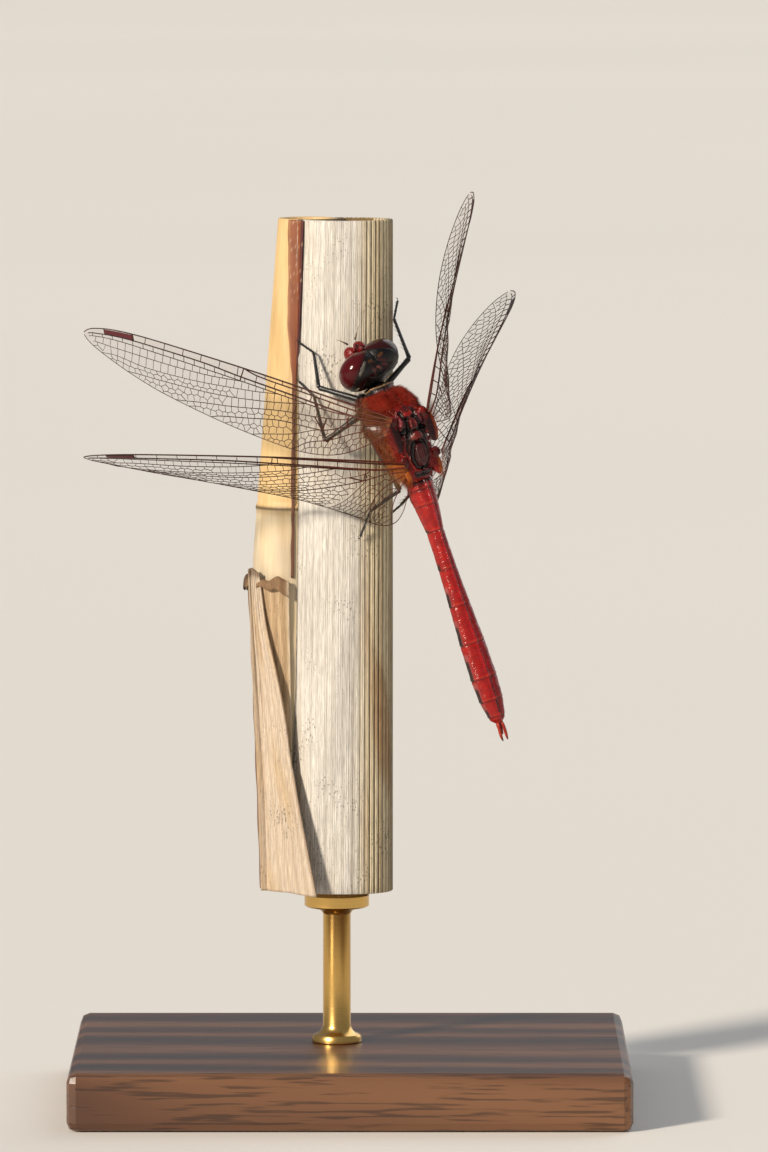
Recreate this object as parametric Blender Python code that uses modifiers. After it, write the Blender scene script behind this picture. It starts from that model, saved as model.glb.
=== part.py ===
"""A male ruddy darter dragonfly, life size, clinging head-up to a cut length of dry reed.

The reed stands on a rod in a flat wooden base. Sizes are in millimetres and are turned to
metres by MM. The insect is laid out in its own axes, (forward, left, up) from a point on
its back between the wings, and body_axes() then sets it on the reed.
"""

import math

import bmesh
import bpy
from mathutils import Matrix, Vector

MM = 0.001
GAP = 0.12          # clear space between neighbouring pieces
HEAD_CLEAR = 0.2    # clear space between the back of the head and the collar
THIN = 0.5          # least thickness of a wing, leg or feeler

# ---- where the insect is, and how it is turned -------------------------------------------
BODY_PLACE = Vector((5.65, -10.9, 58.58))
BODY_LEAN = math.radians(-18.4)     # the head leans to the left
BODY_TIP = math.radians(-1.1)
BODY_ROLL = math.radians(29.3)      # the back is turned to the right

# ---- head, in axes of its own: (forward, left, up) from its middle -------------------------
HEAD = Vector((6.62, 0.0, -4.1))
HEAD_TURN = math.radians(13.0)      # the face looks to the left
HEAD_NOD = math.radians(35.0)       # and down, towards the reed
CAPSULE_OFFSET = Vector((-0.55, 0.0, -0.1))
CAPSULE_RADII = Vector((0.9, 2.35, 1.7))
EYE_OFFSET = Vector((0.15, 1.0, 0.05))
EYE_RADII = Vector((1.5, 2.0, 1.85))
FRONS_OFFSET = Vector((1.95, 0.0, 0.0))
FRONS_RADII = Vector((0.9, 1.1, 0.95))
LABRUM_OFFSET = Vector((1.2, 0.0, -1.25))
LABRUM_RADII = Vector((1.0, 1.25, 0.95))
ANTENNA_ROOT = Vector((2.55, 0.5, 0.95))
ANTENNA_TIP = Vector((3.05, 1.35, 1.75))

# ---- thorax: each station is (forward, centre height, half width, half height) -------------
THORAX_STATIONS = (
    (-3.85, -2.3, 1.2, 1.25),
    (-3.2, -2.3, 1.55, 1.85),
    (-2.0, -2.4, 1.85, 2.4),
    (0.0, -2.7, 2.15, 2.9),
    (1.6, -2.85, 2.25, 3.0),
    (2.8, -3.15, 2.15, 2.65),
    (3.8, -3.5, 1.75, 2.0),
    (4.3, -3.75, 1.4, 1.45),
)
PROTHORAX_STATIONS = (
    (4.45, -3.8, 1.35, 1.3),
    (4.75, -3.85, 1.38, 1.2),
    (4.95, -3.85, 0.6, 0.6),
    (5.15, -3.85, 0.4, 0.4),
)

# ---- abdomen: length of each segment, then half width and half height at its rear ----------
ABDOMEN_START = (-3.95, -2.25, 1.12, 1.15)
SEGMENTS = (
    (0.65, 1.16, 1.2),
    (1.45, 1.05, 1.15),
    (2.35, 0.76, 0.82),
    (3.4, 0.82, 0.74),
    (3.3, 0.97, 0.76),
    (3.4, 1.16, 0.84),
    (3.15, 1.22, 0.88),
    (2.0, 1.1, 0.82),
    (1.45, 0.78, 0.62),
    (0.7, 0.52, 0.42),
)
CERCUS_LENGTH = 1.5
CERCUS_SPREAD = 0.32

# ---- wings: sweep forward, droop, how far the front edge is raised along it, shift of the root
FOREWING_ROOT = Vector((1.9, 1.75, 0.0))
HINDWING_ROOT = Vector((-2.0, 1.93, -0.1))
FOREWING_LENGTH = 28.6
HINDWING_LENGTH = 27.4
RISE_AT = (0.0, 0.2, 0.55, 1.0)
WING_POSE = {
    "forewing_L": (43.3, 40.0, (8, 37, 55, 63), 0.0),
    "forewing_R": (40.1, 31.1, (16, 36, 66, 86), -0.25),
    "hindwing_L": (22.8, 31.5, (50, 67, 77, 86), 0.0),
    "hindwing_R": (27.0, 35.4, (50, 58, 80, 102), 0.0),
}
CAMBER = 0.06               # height of the blade's arch, as a share of its width
HINDWING_LOBE = 0.012       # how far the rear root reaches in, as a share of the length
# Blade in front of and behind the line from root to tip, as (share of length, distance).
FOREWING_FRONT = (
    (0.0, 0.1), (0.1, 0.25), (0.25, 0.5), (0.45, 0.9), (0.6, 1.15), (0.75, 1.35),
    (0.85, 1.38), (0.92, 1.2), (0.97, 0.82), (0.99, 0.48), (1.0, 0.12),
)
FOREWING_BACK = (
    (0.0, 1.5), (0.05, 2.6), (0.12, 3.9), (0.2, 4.8), (0.3, 5.3), (0.45, 5.35), (0.6, 5.0),
    (0.75, 4.15), (0.85, 3.1), (0.92, 2.1), (0.97, 1.2), (0.99, 0.65), (1.0, 0.2),
)
HINDWING_FRONT = (
    (0.0, 0.1), (0.1, 0.25), (0.25, 0.55), (0.4, 0.85), (0.6, 1.1), (0.75, 1.25),
    (0.85, 1.28), (0.92, 1.12), (0.97, 0.78), (0.99, 0.45), (1.0, 0.12),
)
HINDWING_BACK = (
    (0.0, 2.6), (0.02, 5.4), (0.05, 7.3), (0.1, 8.4), (0.17, 8.6), (0.25, 8.3), (0.35, 7.6),
    (0.5, 6.7), (0.65, 5.7), (0.78, 4.6), (0.88, 3.2), (0.94, 2.1), (0.98, 1.15),
    (0.99, 0.7), (1.0, 0.2),
)
WING_STEPS = (22, 5)

# ---- legs: hip in the insect's axes; knee, ankle and toe in the world ----------------------
HIPS = {
    "fore": Vector((4.1, 0.95, -6.2)),
    "mid": Vector((2.9, 1.15, -6.45)),
    "hind": Vector((1.4, 1.15, -6.35)),
}
LEG_POINTS = {
    "fore_L": ((-2.7, -5.0, 62.2), (-3.15, -3.3, 65.1), (-4.45, -1.35, 65.87)),
    "mid_L": ((-2.15, -6.0, 57.7), (-3.1, -3.2, 61.3), (-4.4, -1.65, 62.49)),
    "hind_L": ((4.25, -5.2, 53.4), (1.7, -3.9, 51.5), (0.85, -3.65, 49.3)),
    "fore_R": ((5.05, -4.6, 64.7), (3.75, -1.55, 67.9), (4.05, 0.25, 69.3)),
    "mid_R": ((6.2, -3.2, 58.3), (4.3, -0.35, 56.4), (3.25, 2.5, 55.4)),
    "hind_R": ((6.3, -3.2, 54.2), (4.35, 0.4, 51.7), (2.85, 2.9, 50.2)),
}
LEG_BONES = {                # thickness of each, as the radius at its start and at its end
    "femur": (0.34, 0.27),
    "tibia": (0.26, 0.25),
    "tarsus": (0.25, 0.25),
}
LEG_SIDES = 8

# ---- reed and stand --------------------------------------------------------------------------
REED_BOTTOM, REED_TOP = 18.3, 76.4
SHEATH_TOP = (-0.32, 0.0, 4.02, 3.4)    # x, y, half width and half depth at the top
SHEATH_BOTTOM = (-0.72, 0.0, 4.42, 3.5)
CULM_STATIONS = (                       # height, x, y and radius
    (18.3, -4.75, 1.8, 2.85),
    (46.5, -5.2, 2.5, 3.42),
    (76.4, -3.72, 2.0, 2.65),
)
LEAF_TOP = 45.6
LEAF_THICKNESS = 0.6
LEAF_ARC = (158, 268)                   # degrees round the culm that the old leaf covers on top
LEAF_LEAVES = 228                       # where it leaves the culm at its foot, in degrees
LEAF_FLAP = 5.4                         # how far it then runs over the sheath, at its foot
LEAF_FLAP_CURVE = 2.4                   # 1 makes the free edge straight, more hollows it
BASE_SIZE = (48.0, 40.0, 5.0)
BASE_BEVEL = 0.8
ROD_RADIUS = 1.2
CAP_RADIUS, CAP_HEIGHT = 2.8, 1.4
ROD_PLACE = Vector((-1.2, 0.4))

COLOURS = {
    "red_cuticle": ((0.55, 0.03, 0.02), 0.35, 0.0),
    "thorax_cuticle": ((0.30, 0.05, 0.02), 0.5, 0.0),
    "eye": ((0.14, 0.01, 0.01), 0.2, 0.0),
    "black_cuticle": ((0.015, 0.015, 0.015), 0.35, 0.0),
    "wing": ((0.55, 0.48, 0.36), 0.2, 0.0),
    "culm": ((0.75, 0.6, 0.32), 0.6, 0.0),
    "sheath": ((0.66, 0.6, 0.5), 0.8, 0.0),
    "base_wood": ((0.1, 0.05, 0.03), 0.4, 0.0),
    "brass": ((0.7, 0.5, 0.22), 0.3, 1.0),
}


def body_axes():
    """The matrix that carries (forward, left, up) in millimetres to world metres."""
    turn = (
        Matrix.Rotation(BODY_LEAN, 3, "Y")
        @ Matrix.Rotation(BODY_TIP, 3, "X")
        @ Matrix.Rotation(BODY_ROLL, 3, "Z")
    )
    upright = Matrix(((0, -1, 0), (0, 0, -1), (1, 0, 0)))
    return Matrix.Translation(BODY_PLACE * MM) @ (turn @ upright).to_4x4() @ Matrix.Scale(MM, 4)


def head_axes():
    """The head's own (forward, left, up), turned and nodded on the neck."""
    turn = Matrix.Rotation(HEAD_TURN, 4, "Z") @ Matrix.Rotation(HEAD_NOD, 4, "Y")
    return body_axes() @ Matrix.Translation(HEAD) @ turn


BODY = body_axes()
HEAD_PLACE = head_axes()
WORLD = Matrix.Scale(MM, 4)


def clear_scene():
    for thing in list(bpy.data.objects):
        bpy.data.objects.remove(thing)


def collection(name):
    made = bpy.data.collections.new(name)
    bpy.context.scene.collection.children.link(made)
    return made


def material(name):
    made = bpy.data.materials.get(name)
    if made is None:
        colour, roughness, metallic = COLOURS[name]
        made = bpy.data.materials.new(name)
        made.use_nodes = True
        shader = made.node_tree.nodes["Principled BSDF"]
        shader.inputs["Base Color"].default_value = (*colour, 1)
        shader.inputs["Roughness"].default_value = roughness
        shader.inputs["Metallic"].default_value = metallic
    return made


def add(name, bm, finish, home, place=WORLD):
    """Makes one object of a bmesh that is drawn in millimetres in the axes of place."""
    bmesh.ops.transform(bm, matrix=place, verts=bm.verts)
    bmesh.ops.recalc_face_normals(bm, faces=bm.faces)
    mesh = bpy.data.meshes.new(name)
    bm.to_mesh(mesh)
    bm.free()
    mesh.materials.append(material(finish))
    made = bpy.data.objects.new(name, mesh)
    home.objects.link(made)
    mesh.shade_smooth()
    mesh.set_sharp_from_angle(angle=math.radians(40))
    return made


def ring_frame(centre, across, upward, half_width, half_height):
    """A matrix that makes a unit circle an ellipse at centre, spanned by across and upward."""
    turn = Matrix((across * half_width, upward * half_height, across.cross(upward))).transposed()
    return Matrix.Translation(centre) @ turn.to_4x4()


def loft(frames, sides):
    """A closed bmesh through ellipses, one for each frame."""
    bm = bmesh.new()
    rings = []
    for frame in frames:
        made = bmesh.ops.create_circle(bm, cap_ends=False, radius=1, segments=sides, matrix=frame)
        rings.append(made["verts"])
    for near, far in zip(rings, rings[1:]):
        edges = {edge for vert in near + far for edge in vert.link_edges}
        flat = [e for e in edges if all(v in near for v in e.verts) or all(v in far for v in e.verts)]
        bmesh.ops.bridge_loops(bm, edges=flat)
    for ring in (rings[0], rings[-1]):
        bmesh.ops.contextual_create(bm, geom=ring)
    return bm


def trunk(stations, sides=20):
    """A loft along the insect's length, through stations."""
    frames = [
        ring_frame(Vector((f, 0, u)), Vector((0, 1, 0)), Vector((0, 0, 1)), width, height)
        for f, u, width, height in stations
    ]
    return loft(frames, sides)


def rod(start, end, start_radius, end_radius, sides=LEG_SIDES):
    """A closed tapering rod from start to end."""
    along = end - start
    bm = bmesh.new()
    bmesh.ops.create_cone(
        bm, cap_ends=True, segments=sides, radius1=start_radius, radius2=end_radius,
        depth=along.length,
        matrix=Matrix.Translation((start + end) / 2) @ along.to_track_quat("Z", "Y").to_matrix().to_4x4(),
    )
    return bm


def ball(centre, radii, around=24, rings=14):
    bm = bmesh.new()
    bmesh.ops.create_uvsphere(
        bm, u_segments=around, v_segments=rings, radius=1,
        matrix=Matrix.Translation(centre) @ Matrix.Diagonal(radii).to_4x4(),
    )
    return bm


def combine(target, tool, operation):
    """A Boolean of tool on target."""
    modifier = target.modifiers.new(operation.title(), "BOOLEAN")
    modifier.operation = operation
    modifier.solver = "EXACT"
    modifier.object = tool


def thicken(made, thickness):
    """Gives a bent sheet its thickness, half of it on each side."""
    wall = made.modifiers.new("Thickness", "SOLIDIFY")
    wall.thickness = thickness * MM
    wall.offset = 0


def helper(made):
    made.hide_render = True
    made.display_type = "WIRE"
    return made


def grown(radii, by=GAP):
    return radii + Vector((by, by, by))


def sided(point, side):
    """The point on the insect's left (side 1) or right (side -1)."""
    return Vector((point.x, point.y * side, point.z))


def make_head(parts, tools):
    """The capsule between the eyes, the two eyes that meet on the crown, the face and feelers."""
    eye_cutters = []
    for name, side in (("L", 1), ("R", -1)):
        centre = sided(EYE_OFFSET, side)
        cutter = add(f"cut_eye_{name}", ball(centre, grown(EYE_RADII)), "eye", tools, HEAD_PLACE)
        eye_cutters.append(helper(cutter))
        eye = ball(centre, EYE_RADII)
        bmesh.ops.bisect_plane(
            eye, geom=eye.verts[:] + eye.edges[:] + eye.faces[:], dist=1e-5,
            plane_co=(0, side * GAP / 2, 0), plane_no=(0, side, 0), clear_inner=True,
        )
        bmesh.ops.holes_fill(eye, edges=eye.edges)
        add(f"eye_{name}", eye, "eye", parts, HEAD_PLACE)

    head = add("head", ball(CAPSULE_OFFSET, CAPSULE_RADII), "black_cuticle", parts, HEAD_PLACE)
    face = add("face", ball(FRONS_OFFSET, FRONS_RADII), "red_cuticle", parts, HEAD_PLACE)
    labrum = add("tool_labrum", ball(LABRUM_OFFSET, LABRUM_RADII), "red_cuticle", tools, HEAD_PLACE)
    larger = ball(CAPSULE_OFFSET, grown(CAPSULE_RADII))
    capsule_cutter = add("cut_capsule", larger, "black_cuticle", tools, HEAD_PLACE)
    combine(face, helper(labrum), "UNION")
    combine(face, helper(capsule_cutter), "DIFFERENCE")
    room = [(f, u, w + HEAD_CLEAR, h + HEAD_CLEAR) for f, u, w, h in PROTHORAX_STATIONS]
    collar_cutter = add("cut_collar", trunk(room, 16), "black_cuticle", tools, BODY)
    combine(head, helper(collar_cutter), "DIFFERENCE")
    for cutter in eye_cutters:
        combine(head, cutter, "DIFFERENCE")
        combine(face, cutter, "DIFFERENCE")
    for name, side in (("L", 1), ("R", -1)):
        feeler = rod(sided(ANTENNA_ROOT, side), sided(ANTENNA_TIP, side), THIN / 2, THIN / 2)
        add(f"antenna_{name}", feeler, "black_cuticle", parts, HEAD_PLACE)


def make_thorax(parts):
    """The collar that carries the head, and the winged thorax behind it."""
    add("prothorax", trunk(PROTHORAX_STATIONS, 16), "thorax_cuticle", parts, BODY)
    add("thorax", trunk(THORAX_STATIONS, 24), "thorax_cuticle", parts, BODY)


def make_abdomen(parts):
    """Ten ringed segments, and the two claspers at the tail."""
    forward, height, half_width, half_height = ABDOMEN_START
    for number, (length, next_width, next_height) in enumerate(SEGMENTS, 1):
        middle_bulge = 0.5 * (half_width + next_width) * 1.015
        rear = forward - length
        stations = [
            (forward - GAP / 2, height, half_width, half_height),
            ((forward + rear) / 2, height, middle_bulge, 0.5 * (half_height + next_height)),
            (rear + GAP / 2, height, next_width, next_height),
        ]
        add(f"abdomen_s{number:02d}", trunk(stations, 16), "red_cuticle", parts, BODY)
        forward, half_width, half_height = rear, next_width, next_height
    for name, side in (("L", 1), ("R", -1)):
        root = Vector((forward - GAP, side * CERCUS_SPREAD, height + 0.1))
        tip = root + Vector((-CERCUS_LENGTH, side * 0.08, -0.15))
        add(f"cercus_{name}", rod(root, tip, THIN / 2, THIN / 2), "red_cuticle", parts, BODY)


def smooth_table(table, share):
    """The value at share of a table of (share, value), eased by a Catmull-Rom curve."""
    last = len(table) - 1
    spot = next((i for i in range(last) if share <= table[i + 1][0]), last - 1)
    x0, y0 = table[spot]
    x1, y1 = table[spot + 1]
    before, after = table[max(spot - 1, 0)], table[min(spot + 2, last)]
    slope0 = (y1 - before[1]) / (x1 - before[0]) if spot else (y1 - y0) / (x1 - x0)
    slope1 = (after[1] - y0) / (after[0] - x0)
    t, step = (share - x0) / (x1 - x0), x1 - x0
    return (
        (2 * t**3 - 3 * t**2 + 1) * y0 + (t**3 - 2 * t**2 + t) * step * slope0
        + (-2 * t**3 + 3 * t**2) * y1 + (t**3 - t**2) * step * slope1
    )


def wing_point(root, length, side, pose, share, ahead, arch):
    """A point on a wing: share of the way to its tip, ahead of the middle line, raised by arch."""
    sweep, droop = (math.radians(angle) for angle in pose[:2])
    rise = math.radians(smooth_table(tuple(zip(RISE_AT, pose[2])), min(max(share, 0.0), 1.0)))
    along = Vector((math.sin(sweep) * math.cos(droop), math.cos(sweep) * math.cos(droop),
                    -math.sin(droop)))
    flat_lead = Vector((math.cos(sweep), -math.sin(sweep), 0))
    upper = flat_lead.cross(along)
    lead = flat_lead * math.cos(rise) + upper * math.sin(rise)
    top = upper * math.cos(rise) - flat_lead * math.sin(rise)
    hinge = root + Vector((pose[3], 0.0, 0.0))
    return sided(hinge + along * (length * share) + lead * ahead + top * arch, side)


def make_wing(name, root, length, front, back, parts):
    side = 1 if name.endswith("L") else -1
    lobe = HINDWING_LOBE if name.startswith("hind") else 0.0
    bm = bmesh.new()
    bmesh.ops.create_grid(bm, x_segments=WING_STEPS[0], y_segments=WING_STEPS[1], size=0.5)
    for vert in bm.verts:
        along, across = vert.co.x + 0.5, vert.co.y + 0.5
        share = 0.5 - 0.5 * math.cos(along * math.pi)     # closer rows at the root and the tip
        ahead, behind = smooth_table(front, share), smooth_table(back, share)
        arch = 4 * across * (1 - across) * CAMBER * (ahead + behind)
        reach = share - lobe * across**3 * (1 - share) ** 7
        spot = ahead - (ahead + behind) * across
        vert.co = wing_point(root, length, side, WING_POSE[name], reach, spot, arch)
    wing = add(name, bm, "wing", parts, BODY)
    thicken(wing, THIN)


def make_wings(parts):
    for side in "LR":
        make_wing(f"forewing_{side}", FOREWING_ROOT, FOREWING_LENGTH,
                  FOREWING_FRONT, FOREWING_BACK, parts)
        make_wing(f"hindwing_{side}", HINDWING_ROOT, HINDWING_LENGTH,
                  HINDWING_FRONT, HINDWING_BACK, parts)


def make_legs(parts):
    """Six legs, each a thigh, a shin and a foot, that grip the reed."""
    for name, points in LEG_POINTS.items():
        pair, side = name.split("_")
        hip = BODY @ sided(HIPS[pair], 1 if side == "L" else -1) / MM
        knee, ankle, toe = (Vector(point) for point in points)
        joints = (hip, knee, ankle, toe)
        for (bone, (thick, thin)), start, end in zip(LEG_BONES.items(), joints, joints[1:]):
            along = (end - start).normalized()
            room = 0 if bone == "femur" else thick + GAP
            piece = rod(start + along * room, end - along * GAP, thick, thin)
            add(f"{bone}_{name}", piece, "black_cuticle", parts)


def reed_frame(x, y, z, half_width, half_depth):
    return ring_frame(Vector((x, y, z)), Vector((1, 0, 0)), Vector((0, 1, 0)), half_width, half_depth)


def culm_frames(extra, overrun=0.0):
    """Rings of the culm from its foot to its top, wider by extra and longer by overrun."""
    longer = (-overrun, 0.0, overrun)
    return [
        reed_frame(x, y, z + more, radius + extra, radius + extra)
        for (z, x, y, radius), more in zip(CULM_STATIONS, longer)
    ]


def culm_at(z):
    """The culm's x, y and radius at height z."""
    low, high = CULM_STATIONS[:2] if z < CULM_STATIONS[1][0] else CULM_STATIONS[1:]
    share = (z - low[0]) / (high[0] - low[0])
    return [start + (end - start) * share for start, end in zip(low[1:], high[1:])]


def leaf_point(across, up):
    """A point of the dead leaf: across from its hidden edge to the free one, up from its foot."""
    z = REED_BOTTOM + (LEAF_TOP - REED_BOTTOM) * up
    x, y, radius = culm_at(z)
    reach = radius + GAP + LEAF_THICKNESS / 2
    first = math.radians(LEAF_ARC[0])
    last = math.radians(LEAF_LEAVES + (LEAF_ARC[1] - LEAF_LEAVES) * up)
    hug = reach * (last - first)
    run = across * (hug + LEAF_FLAP * (1 - up) ** LEAF_FLAP_CURVE)
    angle = first + min(run, hug) / reach
    straight = max(run - hug, 0)
    outward = Vector((math.cos(angle), math.sin(angle), 0))
    onward = Vector((-math.sin(angle), math.cos(angle), 0))
    return Vector((x, y, z)) + outward * reach + onward * straight


def old_leaf():
    """A dead leaf base that hugs the culm's left and runs out over the sheath lower down."""
    bm = bmesh.new()
    bmesh.ops.create_grid(bm, x_segments=14, y_segments=6, size=0.5)
    for vert in bm.verts:
        vert.co = leaf_point(vert.co.x + 0.5, vert.co.y + 0.5)
    return bm


def make_perch(parts, tools):
    """The round culm, the leaf sheath that wraps its right side, and a dead leaf base."""
    add("perch_culm", loft(culm_frames(0), 32), "culm", parts)
    thicken(add("perch_leaf", old_leaf(), "sheath", parts), LEAF_THICKNESS)
    ends = ((SHEATH_BOTTOM, REED_BOTTOM), (SHEATH_TOP, REED_TOP))
    sheath = loft([reed_frame(x, y, z, width, depth) for (x, y, width, depth), z in ends], 40)
    cutter = loft(culm_frames(GAP, 2.0), 32)
    combine(add("perch_sheath", sheath, "sheath", parts),
            helper(add("cut_culm", cutter, "culm", tools)), "DIFFERENCE")


def make_stand(parts):
    """A bevelled block of wood, and a brass rod with a round cap under the reed."""
    width, depth, height = BASE_SIZE
    bm = bmesh.new()
    box = Matrix.Translation((0, 0, height / 2)) @ Matrix.Diagonal((width, depth, height, 1))
    bmesh.ops.create_cube(bm, size=1, matrix=box)
    base = add("stand_base", bm, "base_wood", parts)
    bevel = base.modifiers.new("Bevel", "BEVEL")
    bevel.width = BASE_BEVEL * MM
    bevel.segments = 2
    cap_foot = REED_BOTTOM - GAP - CAP_HEIGHT
    for name, radius, low, high in (
        ("stand_rod", ROD_RADIUS, height + GAP / 2, cap_foot - GAP / 2),
        ("stand_cap", CAP_RADIUS, cap_foot, cap_foot + CAP_HEIGHT),
    ):
        piece = rod(Vector((*ROD_PLACE, low)), Vector((*ROD_PLACE, high)), radius, radius, 24)
        add(name, piece, "brass", parts)


def main():
    clear_scene()
    parts, tools = collection("ruddy_darter"), collection("cutters")
    make_head(parts, tools)
    make_thorax(parts)
    make_abdomen(parts)
    make_wings(parts)
    make_legs(parts)
    make_perch(parts, tools)
    make_stand(parts)


main()
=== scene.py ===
"""A life-size still model of a male ruddy darter on a cut length of dry reed, with its looks.

The file is laid out as a Blender add-on and is run as a script. Sizes in it are millimetres,
turned to metres by MM. The insect is drawn in its own axes, (forward, left, up), from a point
on its back between the wings, and BODY sets it on the reed, as the solids do.
"""

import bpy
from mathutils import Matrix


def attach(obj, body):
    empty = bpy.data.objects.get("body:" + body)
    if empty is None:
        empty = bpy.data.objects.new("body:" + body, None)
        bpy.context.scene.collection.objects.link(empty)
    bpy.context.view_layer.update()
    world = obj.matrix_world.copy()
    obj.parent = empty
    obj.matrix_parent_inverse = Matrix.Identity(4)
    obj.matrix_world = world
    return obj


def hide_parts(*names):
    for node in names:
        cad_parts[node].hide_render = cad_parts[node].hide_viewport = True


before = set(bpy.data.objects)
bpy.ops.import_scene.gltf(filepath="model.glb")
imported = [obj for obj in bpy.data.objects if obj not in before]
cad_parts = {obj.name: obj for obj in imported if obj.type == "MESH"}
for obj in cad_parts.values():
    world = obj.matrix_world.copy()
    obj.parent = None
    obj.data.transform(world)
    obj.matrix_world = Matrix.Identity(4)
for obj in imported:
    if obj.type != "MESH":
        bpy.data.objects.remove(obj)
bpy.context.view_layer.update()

import functools
import math
import random

import bmesh
import bpy
import numpy as np
from bpy.props import FloatProperty, FloatVectorProperty, IntProperty, PointerProperty
from mathutils import Matrix, Vector
from mathutils.bvhtree import BVHTree
from mathutils.geometry import delaunay_2d_cdt

bl_info = {
    "name": "Ruddy darter on a reed",
    "version": (1, 0, 0),
    "blender": (4, 5, 0),
    "location": "View3D > Sidebar > Darter",
    "description": "Builds the visible pieces of a life-size dragonfly model on its reed and stand",
    "category": "Object",
}

MM = 0.001
SKIN_INSET = 0.12       # how far the skin of the thorax lies inside its solid
HEAD_CELL, THORAX_CELL = 0.045, 0.06        # the mesh size of the skins
ABDOMEN_GRID = (132, 330)                   # corners round the abdomen and along it

# ---- where the insect is, and how it is turned ----
BODY_PLACE = Vector((5.65, -10.9, 58.58))
BODY_TURN = (
    Matrix.Rotation(math.radians(-18.4), 3, "Y")
    @ Matrix.Rotation(math.radians(-1.1), 3, "X")
    @ Matrix.Rotation(math.radians(29.3), 3, "Z")
    @ Matrix(((0, -1, 0), (0, 0, -1), (1, 0, 0)))
)
BODY = Matrix.Translation(BODY_PLACE * MM) @ BODY_TURN.to_4x4() @ Matrix.Scale(MM, 4)
WORLD = Matrix.Scale(MM, 4)
HEAD = (
    BODY
    @ Matrix.Translation((6.62, 0.0, -4.1))
    @ Matrix.Rotation(math.radians(13.0), 4, "Z")
    @ Matrix.Rotation(math.radians(35.0), 4, "Y")
)

# ---- the body's stations: (forward, centre height, half width, half height) ----
THORAX_STATIONS = (
    (-3.9, -2.3, 1.1, 1.15),
    (-3.2, -2.3, 1.55, 1.85),
    (-2.0, -2.4, 1.85, 2.4),
    (0.0, -2.7, 2.15, 2.9),
    (1.6, -2.85, 2.25, 3.0),
    (2.8, -3.15, 2.15, 2.65),
    (3.8, -3.5, 1.75, 2.0),
    (4.35, -3.75, 1.4, 1.45),
)
PROTHORAX_STATIONS = (
    (4.2, -3.75, 1.1, 1.1),
    (4.45, -3.8, 1.35, 1.3),
    (4.75, -3.85, 1.38, 1.2),
    (4.97, -3.85, 0.75, 0.7),
    (5.15, -3.85, 0.42, 0.42),
)
ABDOMEN_START = (-3.95, -2.25, 1.12, 1.15)
SEGMENTS = (
    (0.65, 1.16, 1.2),
    (1.45, 1.05, 1.15),
    (2.35, 0.76, 0.82),
    (3.4, 0.82, 0.74),
    (3.3, 0.97, 0.76),
    (3.4, 1.16, 0.84),
    (3.15, 1.22, 0.88),
    (2.0, 1.1, 0.82),
    (1.45, 0.78, 0.62),
    (0.7, 0.52, 0.42),
)

# ---- head, in axes of its own ----
EYE_OFFSET = Vector((0.15, 1.0, 0.05))
EYE_RADII = Vector((1.5, 2.0, 1.85))
EYE_RIM = (Vector((0.805, 0.562, 0.189)).normalized(), 0.889)    # the plane of the eye's rear rim
ANTENNA = ((2.5, 0.42, 0.85), (2.62, 0.6, 1.05), (2.85, 0.95, 1.4), (3.05, 1.35, 1.75))

# ---- wings ----
RISE_AT = (0.0, 0.2, 0.55, 1.0)
WING_POSE = {
    "forewing_L": (43.3, 40.0, (8, 37, 55, 63), 0.0),
    "forewing_R": (40.1, 31.1, (16, 36, 66, 86), -0.25),
    "hindwing_L": (22.8, 31.5, (50, 67, 77, 86), 0.0),
    "hindwing_R": (27.0, 35.4, (50, 58, 80, 102), 0.0),
}
CAMBER = 0.06
STIGMA_THICKNESS = 0.13
ROWS_PER_PLEAT = 3      # rows of the membrane's grid between one vein and the next
MARGIN = None           # a vein's last distance, where it ends in the rear margin
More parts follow.
